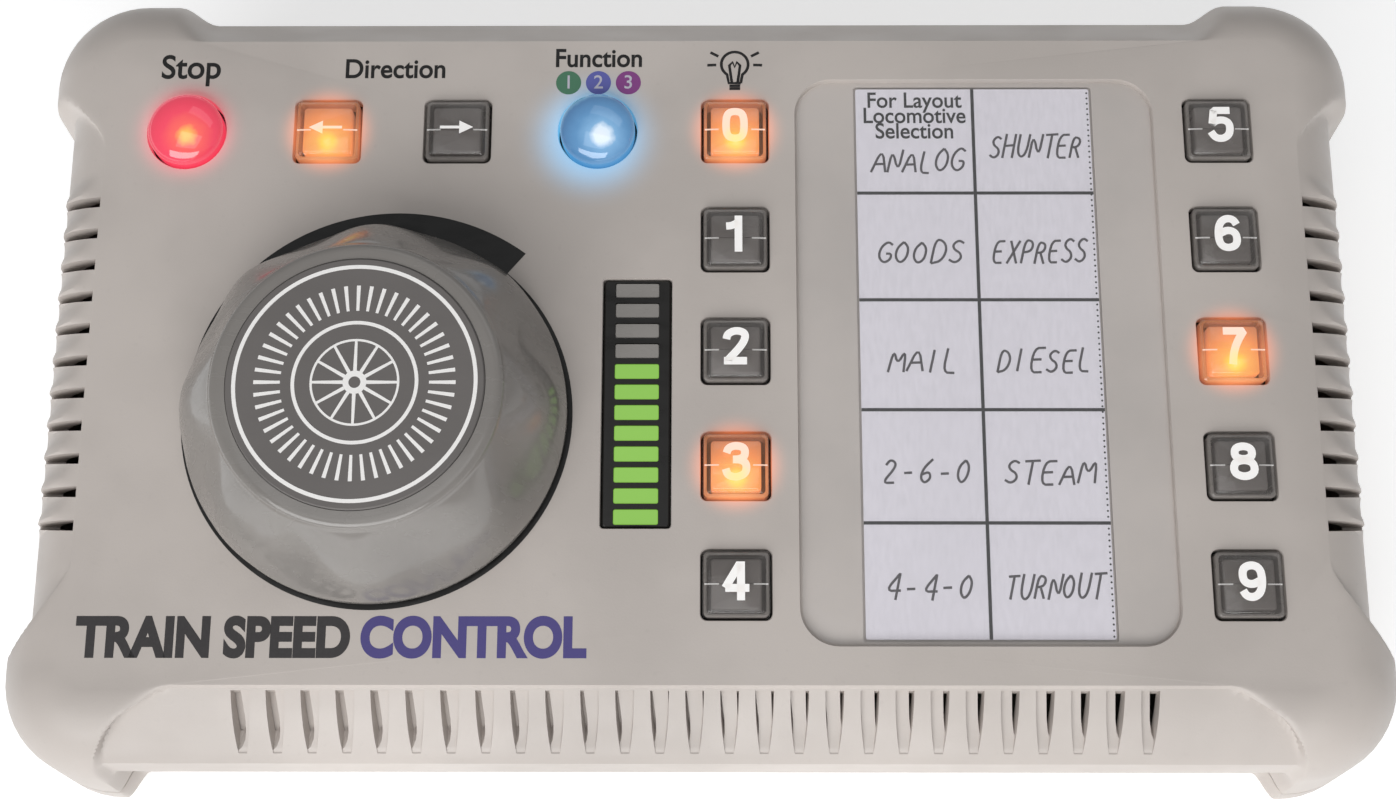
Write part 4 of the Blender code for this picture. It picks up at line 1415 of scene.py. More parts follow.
    def build_louvres(self) -> None:
        """Make the row of blades behind the front slots, a little closer together than the slots."""
        z_edge = self.form.panel_z(self.form.front)
        y_edge = self.form.front + self.axes.origin.y
        builder = bmesh.new()
        edges = ((0.7, -1.45, 1.15, 0.85), (2.4, -1.05, 1.25, 0.85), (3.9, -0.7, 1.35, 0.8),
                 (5.0, -0.65, 1.6, 0.7), (5.6, -0.8, 2.1, 0.5), (6.1, -1.2, 2.1, 0.3), (6.5, -2.0, 2.1, 0.12),
                 (8.5, -2.0, 2.1, 0.12))
        levels = []
        for depth, left, right, top in edges:
            spine = ((-2.65, min(2.5, top * 20)), (left - 0.12, min(2.1, top * 20)), (left, top),
                     (right, top), (right + 0.05, top + 0.6))
            y = y_edge - self.form.front_round(depth * MM)
            face = [(x * MM, y + sink * 1.5 * MM, z_edge - (depth + sink * 0.25) * MM) for x, sink in spine]
            back = [(x, y + 0.8 * MM, z - 0.4 * MM) for x, y, z in face]
            levels.append(face + back[::-1])
        loft(builder, levels)
        row = self.slot_row("vent_louvres", 0.983)
        mount(row.build(builder, self.finish), "console", "case")

    def dress_feet(self) -> None:
        """Replace the feet and screws by rounded ones."""
        for i in range(1, 5):
            place = Matrix.Translation((*plan_centre(f"foot_{i}"), 0))
            builder = bmesh.new()
            profile = ((5.9, 0.0), (6.25, 0.15), (6.42, 0.4), (6.5, 0.8), (6.5, 2.0), (6.4, 2.5), (6.2, 2.7))
            loft(builder, [at_height(circle(r * MM, 48), h * MM) for r, h in profile])
            pad = piece(f"rubber_foot_{i}", builder, self.rubber, place)
            mount(pad, "console", "rubber_foot", f"foot_{i}")
            self.dress_screw(i)

    def dress_screw(self, number: int) -> None:
        """Replace one case screw by a domed cross-head screw.

        Args:
            number: Which screw.
        """
        node = f"case_screw_{number}"
        low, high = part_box(node)
        place = Matrix.Translation((*plan_centre(node), low.z))
        builder = bmesh.new()
        shank = high.z - low.z
        profile = [(1.2, 0.0), (2.2, 0.18), (2.75, 0.5), (3.02, 0.95), (3.08, 1.5), (3.08, 2.1), (1.5, 2.1)]
        rings = [at_height(circle(r * MM, 36), h * MM) for r, h in profile]
        loft(builder, rings + [at_height(circle(1.5 * MM, 36), shank)])
        screw = piece(f"cross_screw_{number}", builder, self.metal, place)
        cross = bmesh.new()
        arm, half = 1.55 * MM, 0.32 * MM
        limb = ((arm, -half), (arm, half), (half, half))
        outline = list(limb)
        for _ in range(3):
            limb = tuple((-y, x) for x, y in limb)
            outline += limb
        taper = [(x * 0.45, y * 0.45) for x, y in outline]
        loft(cross, [at_height(outline, -0.5 * MM), at_height(outline, 0.3 * MM), at_height(taper, 1.4 * MM)])
        carve(screw, [piece("cross", cross, self.metal, place)])
        mount(screw, "console", "steel", node)


def plan_centre(node: str) -> Point2:
    """Middle of a CAD node's box in plan."""
    low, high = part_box(node)
    return (low.x + high.x) / 2, (low.y + high.y) / 2


def mount(item: Object, body: str, slot: str, *nodes: str) -> None:
    """Tie a finished piece to its CAD body and hide the nodes it stands for.

    Args:
        item: The piece.
        body: The CAD body that it rides on.
        slot: The record's material slot; not used.
        nodes: CAD nodes that it replaces.
    """
    if nodes:
        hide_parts(*nodes)
    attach(item, body)
    LOG.info("%s rides on %s", item.name, body)


# ---- keys and domes
AMBER_STOPS = ((0.0, srgb(255, 252, 150)), (0.13, srgb(255, 232, 90)), (0.28, srgb(250, 186, 100)),
               (0.6, srgb(240, 148, 92)), (1.0, srgb(168, 112, 92)))
RED_STOPS = ((0.0, srgb(255, 240, 120)), (0.12, srgb(255, 205, 90)), (0.24, srgb(245, 110, 90)),
             (0.5, srgb(232, 70, 92)), (0.8, srgb(214, 52, 78)), (1.0, srgb(238, 110, 130)))
BLUE_STOPS = ((0.0, srgb(255, 255, 255)), (0.17, srgb(240, 250, 255)), (0.27, srgb(130, 175, 210)),
              (0.5, srgb(88, 136, 176)), (0.8, srgb(62, 104, 144)), (1.0, srgb(120, 180, 210)))
AMBER_FRAME_STOPS = ((0.0, srgb(255, 220, 160)), (0.4, srgb(240, 160, 110)), (0.7, srgb(170, 105, 80)),
                     (1.0, srgb(110, 76, 64)))
AMBER_LEGEND_STOPS = ((0.0, srgb(255, 252, 160)), (0.2, srgb(255, 236, 165)), (0.45, srgb(252, 226, 204)),
                      (1.0, srgb(246, 224, 214)))
NUMERALS = {
    "0": "@0,2.45 -1.3,2.05 -1.55,0 -1.3,-2.05 0,-2.45 1.3,-2.05 1.55,0 1.3,2.05",
    "1": "0.5,-3.1 0.5,-3.1 0.5,3.1 0.5,3.1|0.5,2.1 0.1,1.7 -0.7,1.35 -1.5,1.3",
    "2": "-1.5,1.1 -1.3,2 0,2.6 1.5,2.2 1.5,1 0.4,-0.6 -1.2,-2.3 -1.2,-2.5 -1.2,-2.5|-1.9,-2.5 1.8,-2.5",
    "3": "-1.5,1.35 -1.2,2.2 0,2.6 1.4,2.2 1.4,0.8 0.6,0.35 -0.5,0.3|"
         "-0.5,0.3 0.9,0.25 1.7,-0.5 1.5,-2 0.1,-2.6 -1.3,-2.3 -1.65,-1.2",
    "4": "0.7,-3.1 0.7,3|0.55,2.7 0.55,2.7 -1.75,-1.15 -1.75,-1.15 -1.75,-1.15 2,-1.15",
    "5": "1.7,2.45 1.7,2.45 -0.95,2.45 -0.95,2.45 -1.3,0.1 -1.3,0.1 -0.6,0.7 0.7,0.8 "
         "1.6,0.1 1.5,-1.7 0.4,-2.55 -0.9,-2.4 -1.6,-1.3",
    "6": "1.5,1.5 1,2.4 -0.2,2.6 -1.3,1.7 -1.6,-0.3 -1.3,-2 -0.1,-2.55 1.2,-2.1 1.5,-1 1.2,0.2 0,0.6 -1.2,0",
    "7": "-1.9,2.45 -1.9,2.45 1.4,2.45 1.4,2.45 0.3,0.7 -0.4,-1.2 -0.6,-3.1",
    "8": "@0,2.55 -1.35,2.1 -1.35,0.7 0,0.3 1.35,0.7 1.35,2.1|"
         "@0,0.3 -1.55,-0.2 -1.65,-1.9 0,-2.55 1.65,-1.9 1.55,-0.2",
    "9": "-1.5,-1.5 -1,-2.4 0.2,-2.6 1.3,-1.7 1.6,0.3 1.3,2 0.1,2.55 -1.2,2.1 -1.5,1 -1.2,-0.2 0,-0.6 1.2,0",
}


def bold_numeral(builder: BMesh, digit: str, width: float) -> None:
    """Draw a bold numeral centred on the origin.

    Args:
        builder: The mesh to add to.
        digit: Which numeral.
        width: Width of its strokes.
    """
    for stroke in NUMERALS[digit].split("|"):
        closed = stroke.startswith("@")
        points = [tuple(float(v) * MM for v in pair.split(",")) for pair in stroke.lstrip("@").split()]
        ribbon(builder, smooth(points, closed), width, closed)


@dataclass(frozen=True)
class KeyFinishes:
    """Finishes that all square keys share."""

    smoke: Material
    amber: Material
    insert: Material
    frame: Material
    skirt: Material
    legend: Material


@dataclass
class SquareKey:
    """A square key: smoked clear cap over an insert that carries a pale legend."""

    node: str
    spot: Point2
    lamp: Lamp
    axes: PanelAxes
    width: float = 10.6 * MM
    insert_width: float = 8.0 * MM
    top: float = 1.88 * MM

    def build(self, finishes: KeyFinishes) -> None:
        """Make the key's cap, insert, frame, moulding line with its painted highlight, skirt and legend.

        Args:
            finishes: Finishes of lit and unlit keys.
        """
        place = self.axes.matrix(*self.spot)
        insert, frame, ink, smoke = finishes.insert, finishes.frame, finishes.legend, finishes.smoke
        if self.lamp is not Lamp.OFF:
            spot = self.axes.point(self.spot[0] + 0.1 * MM, self.spot[1] - 2.1 * MM, 0.8 * MM)
            insert = LampGlow(f"{self.node}_glow", spot, AMBER_STOPS, 7.2 * MM, 0.92).build()
            frame = LampGlow(f"{self.node}_frame", spot, AMBER_FRAME_STOPS, 8.5 * MM, 0.8).build()
            ink = LampGlow(f"{self.node}_ink", spot, AMBER_LEGEND_STOPS, 6.0 * MM, 0.95).build()
            smoke = finishes.amber
        mount(piece(f"{self.node}_cap", self.cap(), smoke, place, 50.0), self.node, "smoke_key", self.node)
        block = piece(f"{self.node}_insert", self.insert(), insert, place, 40.0)
        mount(carve(block, [piece("groove", self.groove(), insert, place)], 40.0), self.node, "smoke_key")
        mount(piece(f"{self.node}_frame", self.frame(), frame, place, 40.0), self.node, "smoke_key")
        # The moulding line is a real ridge, and its pale ink is a painted highlight.
        mount(piece(f"{self.node}_split", self.split_line_highlight(), ink, place), self.node, "smoke_key")
        mount(piece(f"{self.node}_skirt", self.skirt(), finishes.skirt, place), self.node, "smoke_key")
        mount(self.legend(ink), self.node, "smoke_key")

    def frame(self) -> BMesh:
        """The wall seen through the cap's edge, round the insert.

        Returns:
            The filled mesh.
        """
        builder = bmesh.new()
        outer, inner = 10.25 * MM, 9.3 * MM
        profile = [(outer, -2.8), (outer, 0.35), (outer - 0.4 * MM, 0.6), (inner, 0.5), (inner, -2.8)]
        tube(builder, [at_height(rounded(s, s, 0.7 * MM, 4), w * MM) for s, w in profile])
        return builder

    def split_line_highlight(self) -> BMesh:
        """The fine moulding line across both sides of the key, drawn in pale ink as its painted highlight.

        Returns:
            The filled mesh.
        """
        builder = bmesh.new()
        start, end, half = 2.7 * MM, 5.0 * MM, 0.1 * MM
        for sign in (-1, 1):
            loft(builder, [[(start * sign, -half, near * MM), (start * sign, half, near * MM),
                            (end * sign, half, far * MM), (end * sign, -half, far * MM)]
                           for near, far in ((0.75, 0.55), (0.9, 0.75))])
        return builder

    def cap(self) -> BMesh:
        """The clear outer cap, open below.

        Returns:
            The filled mesh.
        """
        builder = bmesh.new()
        edge = self.width
        outside = [(edge, -3.0), (edge, 0.55), (edge - 0.1 * MM, 0.85), (edge - 0.9 * MM, 1.5),
                   (edge - 1.25 * MM, 1.75), (edge - 1.8 * MM, 1.88)]
        inside = [(edge - 2.4 * MM, 1.45), (edge - 1.4 * MM, 1.1), (edge - 1.2 * MM, 0.4),
                  (edge - 1.2 * MM, -3.0)]
        rings = []
        for size, w in outside:
            corner = max(1.0 * MM - (edge - size) * 0.2, 0.4 * MM)
            rings.append(at_height(rounded(size, size, corner, 5), w * MM))
        outer = skin(builder, rings, False)
        builder.faces.new(outer[-1])
        inner = skin(builder, [at_height(rounded(s, s, 0.5 * MM, 5), w * MM) for s, w in inside], False)
        builder.faces.new(inner[0][::-1])
        rim, foot = outer[0], inner[-1]
        for i in range(len(rim)):
            j = (i + 1) % len(rim)
            builder.faces.new((rim[i], foot[i], foot[j], rim[j]))
        return builder

    def insert(self) -> BMesh:
        """The block inside the cap.

        Returns:
            The filled mesh.
        """
        builder = bmesh.new()
        size = self.insert_width
        profile = [(size, -2.8), (size, 0.25), (size - 0.2 * MM, 0.55), (size - 0.6 * MM, 0.72)]
        loft(builder, [at_height(rounded(s, s, 0.5 * MM, 4), w * MM) for s, w in profile])
        return builder

    def groove(self) -> BMesh:
        """The groove across the insert's middle.

        Returns:
            The filled mesh of its cutter.
        """
        builder = bmesh.new()
        loft(builder, [[(x, 0.1 * MM, 0.5 * MM), (x, 0.3 * MM, 1 * MM), (x, -0.12 * MM, 1 * MM)]
                       for x in (-6 * MM, 6 * MM)])
        return builder

    def skirt(self) -> BMesh:
        """The flange and stem that hold the key in the panel.

        Returns:
            The filled mesh.
        """
        builder = bmesh.new()
        flange, stem = rounded(12.2 * MM, 12.2 * MM, 0.9 * MM, 3), circle(1.6 * MM, 16)
        foot, low, high = -7.2 * MM, -3.85 * MM, -3.05 * MM
        loft(builder, [at_height(stem, foot), at_height(stem, low), at_height(flange, low),
                       at_height(flange, high)])
        return builder

    def legend(self, ink: Material) -> Object:
        """The numeral or arrow on the key's face.

        Args:
            ink: Its ink.

        Returns:
            The legend.
        """
        place = self.axes.matrix(self.spot[0], self.spot[1], self.top + 0.02 * MM)
        name = f"{self.node}_legend"
        builder = bmesh.new()
        if self.node.startswith("key_"):
            bold_numeral(builder, self.node[-1], 1.25 * MM)
            return piece(name, builder, ink, place @ Matrix.Translation((0.0, 0.35 * MM, 0.0)))
        sign = -1.0 if self.node.endswith("left") else 1.0
        shaft, head, tip, half, barb = -2.7 * MM, 0.5 * MM, 2.8 * MM, 0.24 * MM, 1.15 * MM
        outline = [(shaft, -half), (head, -half), (head, -barb), (tip, 0.0), (head, barb), (head, half),
                   (shaft, half)]
        prism(builder, [(x * sign, y) for x, y in outline], 0.0, INK_THICKNESS)
        return piece(name, builder, ink, place)


@dataclass
class DomeButton:
    """A round lit button with a domed translucent cap."""

    node: str
    x: float
    v: float
    lamp: Lamp
    slot: str
    axes: PanelAxes
    radius: float = 6.2 * MM
    shoulder: float = 0.8 * MM
    top: float = 3.6 * MM

    def build(self, rim: Material) -> None:
        """Make the dome and its skirt.

        Args:
            rim: Finish of the skirt.
        """
        place = self.axes.matrix(self.x, self.v)
        stops = RED_STOPS if self.lamp is Lamp.RED else BLUE_STOPS
        base = srgb(150, 40, 60) if self.lamp is Lamp.RED else srgb(56, 92, 130)
        spot = self.axes.point(self.x + 0.9 * MM, self.v - 1.9 * MM, self.top - 0.9 * MM)
        finish = LampGlow(f"{self.node}_glow", spot, stops, 8.6 * MM, 0.85, base, 0.08).build()
        builder = bmesh.new()
        rise = self.top - self.shoulder
        profile = [(self.radius, -3.0 * MM), (self.radius, self.shoulder)]
        for k in range(1, 14):
            angle = math.radians(90.0 * k / 14)
            profile.append((self.radius * math.cos(angle) ** 0.92, self.shoulder + rise * math.sin(angle)))
        loft(builder, [at_height(circle(r, 72), w) for r, w in profile])
        mount(piece(f"{self.node}_dome", builder, finish, place), self.node, self.slot, self.node)
        skirt = bmesh.new()
        profile = [(1.6, -7.2), (1.6, -3.85), (7.3, -3.85), (7.3, -3.05)]
        loft(skirt, [at_height(circle(r * MM, 40), w * MM) for r, w in profile])
        mount(piece(f"{self.node}_skirt", skirt, rim, place), self.node, self.slot)


# ---- knob
@dataclass
class SpeedKnob:
    """The lobed speed knob with its printed badge."""

    axes: PanelAxes
    spot: Point2
    gloss: Material
    satin: Material
    ink: Material
    skirt_radius: float = 30.6 * MM
    skirt_foot: float = 0.9 * MM
    skirt_top: float = 2.2 * MM
    rim_radius: float = 22.3 * MM
    rim_height: float = 19.0 * MM
    top: float = 20.0 * MM
    lobes: int = 8
    swell: float = 1.1 * MM
    lobe_depth: float = 0.9 * MM
    badge_radius: float = 19.55 * MM
    badge_top: float = 20.3 * MM
    sides: int = 240

    def flank(self, height: float) -> list[tuple]:
        """One ring of the flank.

        Args:
            height: Height above the panel.

        Returns:
            The ring's points.
        """
        t = min(max((height - self.skirt_top) / (self.rim_height - self.skirt_top), 0.0), 1.0)
        cone = self.rim_radius + (self.skirt_radius - self.rim_radius) * (1 - t)
        swell = max(math.sin(math.pi * t), 0.0) ** 0.8
        ring = []
        for i in range(self.sides):
            angle = math.tau * i / self.sides
            radius = cone + swell * (self.swell + self.lobe_depth * math.cos(self.lobes * angle))
            ring.append((radius * math.cos(angle), radius * math.sin(angle), height))
        return ring

    def build(self) -> None:
        """Make the knob, its badge and the printing."""
        place = self.axes.matrix(*self.spot)
        builder = bmesh.new()
        lip = 0.35 * MM
        rings = [at_height(circle(self.skirt_radius - lip, self.sides), self.skirt_foot),
                 at_height(circle(self.skirt_radius, self.sides), self.skirt_foot + lip),
                 at_height(circle(self.skirt_radius, self.sides), self.skirt_top - 0.3 * MM)]
        rings += [self.flank(self.skirt_top + (self.rim_height - self.skirt_top) * k / 36) for k in range(37)]
        edge = self.top - self.rim_height
        for k in range(1, 9):
            angle = math.radians(90.0 * k / 8)
            radius = self.rim_radius - 1.5 * MM * (1 - math.cos(angle))
            rings.append(at_height(circle(radius, self.sides), self.rim_height + edge * math.sin(angle)))
        loft(builder, rings)
        knob = piece("knob_body", builder, self.gloss, place, 50.0)
        hollow = bmesh.new()
        profile = [(28.6, 0.0), (28.6, 1.8), (27.0, 4.0), (21.0, 16.0)]
        loft(hollow, [at_height(circle(r * MM, 96), h * MM) for r, h in profile])
        seat = bmesh.new()
        prism(seat, circle(self.badge_radius + 0.1 * MM, 144), 19.4 * MM, 30 * MM)
        cutters = [piece("knob_hollow", hollow, self.gloss, place), piece("seat", seat, self.gloss, place)]
        carve(knob, cutters, 40.0)
        mount(knob, "knob", "knob", "speed_knob")
        badge = bmesh.new()
        radius, high = self.badge_radius, self.badge_top
        rings = [(radius - 0.1 * MM, 19.5 * MM), (radius, 19.6 * MM), (radius, high - 0.2 * MM),
                 (radius - 0.2 * MM, high)]
        loft(badge, [at_height(circle(r, 144), h) for r, h in rings])
        mount(piece("badge_disc", badge, self.satin, place), "knob", "badge", "knob_badge")
        self.print_badge()

    def print_badge(self) -> None:
        """Print rings, graduations and a spoked wheel on the badge."""
        place = self.axes.matrix(self.spot[0], self.spot[1], self.badge_top + 0.005 * MM)
        thick = 0.03 * MM
        bands = bmesh.new()
        for inner, outer in ((17.9, 18.5), (9.05, 9.6), (6.4, 6.75), (0.9, 1.8)):
            rings = [at_height(circle(r * MM, 144), h) for r, h in
                     ((outer, 0.0), (outer, thick), (inner, thick), (inner, 0.0))]
            tube(bands, rings)
        mount(piece("badge_bands", bands, self.ink, place), "knob", "badge")
        for name, count, (start, half), (end, end_half) in (("badge_ticks", 48, (11.2, 0.22), (15.2, 0.3)),
                                                            ("badge_spokes", 12, (1.8, 0.28), (6.4, 0.2))):
            mark = bmesh.new()
            outline = [(start, -half), (end, -end_half), (end, end_half), (start, half)]
            prism(mark, [(x * MM, y * MM) for x, y in outline], 0.0, thick)
            row = Row(name, count, Vector(), Vector(), math.tau / count)
            mount(row.build(mark, self.ink, place), "knob", "badge")


# ---- bar graph
@dataclass
class BarGraph:
    """Black window with twelve lamp segments, the lower ones lit."""

    axes: PanelAxes
    spot: Point2
    black: Material
    green: Material
    grey: Material
    segments: int = 12
    lit: int = 8
    pitch: float = 3.41 * MM
    size: Point2 = (10.8 * MM, 40.9 * MM)
    segment: Point2 = (7.1 * MM, 2.45 * MM)

    def build(self) -> None:
        """Make the window and both groups of segments."""
        place = self.axes.matrix(*self.spot)
        builder = bmesh.new()
        edge = 0.25 * MM
        rings = [(0.0, -2.4 * MM), (0.0, -0.3 * MM - edge), (-2 * edge, -0.3 * MM)]
        loft(builder, [at_height(rounded(self.size[0] + grow, self.size[1] + grow, 0.5 * MM, 4), w)
                       for grow, w in rings])
        window = piece("bar_frame", builder, self.black, place)
        first = Vector((0.0, -(self.segments - 1) / 2 * self.pitch, 0.0))
        step = Vector((0.0, self.pitch, 0.0))
        slot, gap = bmesh.new(), 0.1 * MM
        prism(slot, rounded(self.segment[0] + gap, self.segment[1] + gap, 0.35 * MM, 3), -1.0 * MM, 1 * MM)
        carve(window, [Row("bar_slots", self.segments, first, step).build(slot, self.black, place)])
        mount(window, "console", "black_plastic", "bar_window")
        for name, start, count, finish in (("bar_lit", 0, self.lit, self.green),
                                           ("bar_unlit", self.lit, self.segments - self.lit, self.grey)):
            shape = bmesh.new()
            rings = [(0.0, -0.95 * MM), (0.0, -0.55 * MM), (-0.2 * MM, -0.42 * MM)]
            loft(shape, [at_height(rounded(self.segment[0] + g, self.segment[1] + g, 0.3 * MM, 3), w)
                         for g, w in rings])
            row = Row(name, count, first + step * start, step).build(shape, finish, place)
            nodes = ("bar_graph",) if name == "bar_lit" else ()
            mount(row, "console", "bar_lamp", *nodes)


# ---- name card
GLYPHS = {
    "A": "0,0 2,6 4,0|0.7,2 3.4,2.1", "D": "0.3,0 0.5,6 2.6,5.6 3.8,3.4 2.8,0.6 0.3,0",
    "E": "3.6,6 0.4,5.9 0.2,0 3.5,0.1|0.3,3.1 2.9,3.2",
    "G": "3.7,5 2.2,6 0.4,4.2 0.3,1.6 2,0 3.7,1 3.7,2.6 2.2,2.6",
    "H": "0.3,0 0.5,6|3.5,6 3.4,0|0.4,3 3.5,3.2", "I": "1.6,0 1.8,6", "L": "0.6,6 0.3,0.1 3.2,0",
    "M": "0,0 0.6,6 2.2,2 3.8,6 4.2,0", "N": "0.2,0 0.5,6 3.3,0.1 3.7,6",
    "O": "2,6 0.4,4.4 0.2,1.8 1.8,0 3.5,1.4 3.6,4.4 2,6", "P": "0.3,0 0.6,6 2.9,5.8 3.5,4.4 2.8,3.1 0.5,2.8",
    "R": "0.3,0 0.6,6 2.9,5.7 3.4,4.4 2.6,3.2 0.5,3|1.8,3.1 3.6,0",
    "S": "3.5,5.2 2,6 0.6,4.8 1.2,3.5 3,2.6 3.4,1.1 1.9,0 0.2,0.9",
    "T": "0,5.8 4,6|2,5.9 1.8,0", "U": "0.4,6 0.3,1.5 1.8,0 3.3,1.4 3.6,6", "X": "0.2,0 3.7,6|0.5,6 3.5,0",
    "0": "2,6 0.5,4.4 0.4,1.8 1.7,0 3,1.6 3.2,4.4 2,6", "2": "0.5,4.6 1.4,6 3,5.2 2.8,3.6 0.3,0.1 3.4,0.2",
    "4": "2.9,0 3,6|2.9,5.8 0.2,2 3.8,2.1", "6": "3,6 1,3.8 0.5,1.4 1.8,0 3.2,1.2 2.6,2.9 0.8,2.2",
    "-": "0.6,2.8 2.8,2.9",
}


@dataclass
class NameCard:
    """The paper card with its grid and handwritten names, under a clear window."""

    axes: PanelAxes
    spot: Point2
    paper: Material
    black: Material
    pencil: Material
    clear: Material
    size: Point2 = (39.0 * MM, 92.4 * MM)
    face: float = -1.28 * MM
    rows: int = 5
    names: tuple[tuple[str, ...], ...] = (("ANALOG", "GOODS", "MAIL", "2-6-0", "4-4-0"),
                                          ("SHUNTER", "EXPRESS", "DIESEL", "STEAM", "TURNOUT"))

    def build(self) -> None:
        """Make the card, its lines, its names and the window."""
        place = self.axes.matrix(*self.spot)
        card = bmesh.new()
        outline = rounded(self.size[0], self.size[1], 0.3 * MM, 2)
        loft(card, [at_height(outline, self.face - 0.3 * MM), at_height(outline, self.face)])
        mount(piece("paper_card", card, self.paper, place), "console", "card", "name_card")
        self.grid()
        self.write()
        cover = bmesh.new()
        edge = 0.25 * MM
        rings = [(0.0, -1.0 * MM), (0.0, -0.2 * MM - edge), (-2 * edge, -0.2 * MM)]
        loft(cover, [at_height(rounded(58.7 * MM + grow, 94.0 * MM + grow, 5.7 * MM + grow / 2, 12), w)
                     for grow, w in rings])
        mount(piece("card_cover", cover, self.clear, place), "console", "clear_window", "card_window")

    def grid(self) -> None:
        """Print the lines between the names and the row of perforations."""
        place = self.axes.matrix(self.spot[0], self.spot[1], self.face + 0.01 * MM)
        half, thick = 0.27 * MM, INK_THICKNESS
        pitch = self.size[1] / self.rows
        bar = bmesh.new()
        x = self.size[0] / 2
        prism(bar, [(-x, -half), (x, -half), (x, half), (-x, half)], 0.0, thick)
        start = Vector((0.0, -self.size[1] / 2 + pitch, 0.0))
        row = Row("card_lines", self.rows - 1, start, Vector((0.0, pitch, 0.0)))
        mount(row.build(bar, self.black, place), "console", "card")
        centre = bmesh.new()
        y = self.size[1] / 2
        prism(centre, [(-half, -y), (half, -y), (half, y), (-half, y)], 0.03 * MM, 0.03 * MM + thick)
        mount(piece("card_centre_line", centre, self.black, place), "console", "card")
        dot = bmesh.new()
        prism(dot, circle(0.17 * MM, 8), 0.0, thick)
        pitch = 0.95 * MM
        count = int(self.size[1] / pitch)
        start = Vector((x - 0.35 * MM, -y + pitch / 2, 0.0))
        row = Row("card_perforation", count, start, Vector((0.0, pitch, 0.0)))
        mount(row.build(dot, self.black, place), "console", "card")

    def write(self) -> None:
        """Write a name in each cell by hand, and print the first cell's heading."""
        chance = random.Random(11)
        pitch = self.size[1] / self.rows
        strokes = []
        for column, words in enumerate(self.names):
            cx = (column - 0.5) * self.size[0] / 2 + 0.4 * MM
            for row, word in enumerate(words):
                drop = 3.6 * MM if (column, row) == (0, 0) else 1.0 * MM
                cy = self.size[1] / 2 - (row + 0.5) * pitch - drop
                strokes += self.word(word, cx, cy, chance)
        place = self.axes.matrix(self.spot[0], self.spot[1], self.face + 0.02 * MM)
        mount(pen_lines(strokes, 0.2 * MM, self.pencil, place, "card_writing"), "console", "card")
        for i, line in enumerate(("For Layout", "Locomotive", "Selection")):
            cy = self.size[1] / 2 - (2.1 + 2.75 * i) * MM
            spot = self.axes.matrix(self.spot[0] - self.size[0] / 4, self.spot[1] + cy, self.face + 0.02 * MM)
            heading = printed_text(line, 3.9 * MM, self.black, spot, f"card_heading_{i + 1}", 0.05 * MM, 0.92)
            mount(heading, "console", "card")

    def word(self, word: str, cx: float, cy: float, chance: random.Random) -> list[list[tuple]]:
        """Strokes of one handwritten word.

        Args:
            word: The word.
            cx: Centre across.
            cy: Centre up.
            chance: Seeded source of the hand's unevenness.

        Returns:
            The strokes.
        """
        unit = min(0.62 * MM, 15.6 * MM / (len(word) * 4.7))
        tall = 0.66 * MM
        width = len(word) * 4.7 * unit
        strokes = []
        for i, letter in enumerate(word):
            left = cx - width / 2 + i * 4.7 * unit + chance.uniform(-0.2, 0.2) * unit
            base = cy - 3 * tall + chance.uniform(-0.25, 0.25) * tall
            size = chance.uniform(0.92, 1.08)
            for stroke in GLYPHS[letter].split("|"):
                line = []
                for pair in stroke.split():
                    a, b = (float(value) for value in pair.split(","))
                    line.append((left + (a * unit + 0.2 * b * tall) * size, base + b * tall * size))
                strokes.append(line)
        return [smooth(stroke) for stroke in strokes]


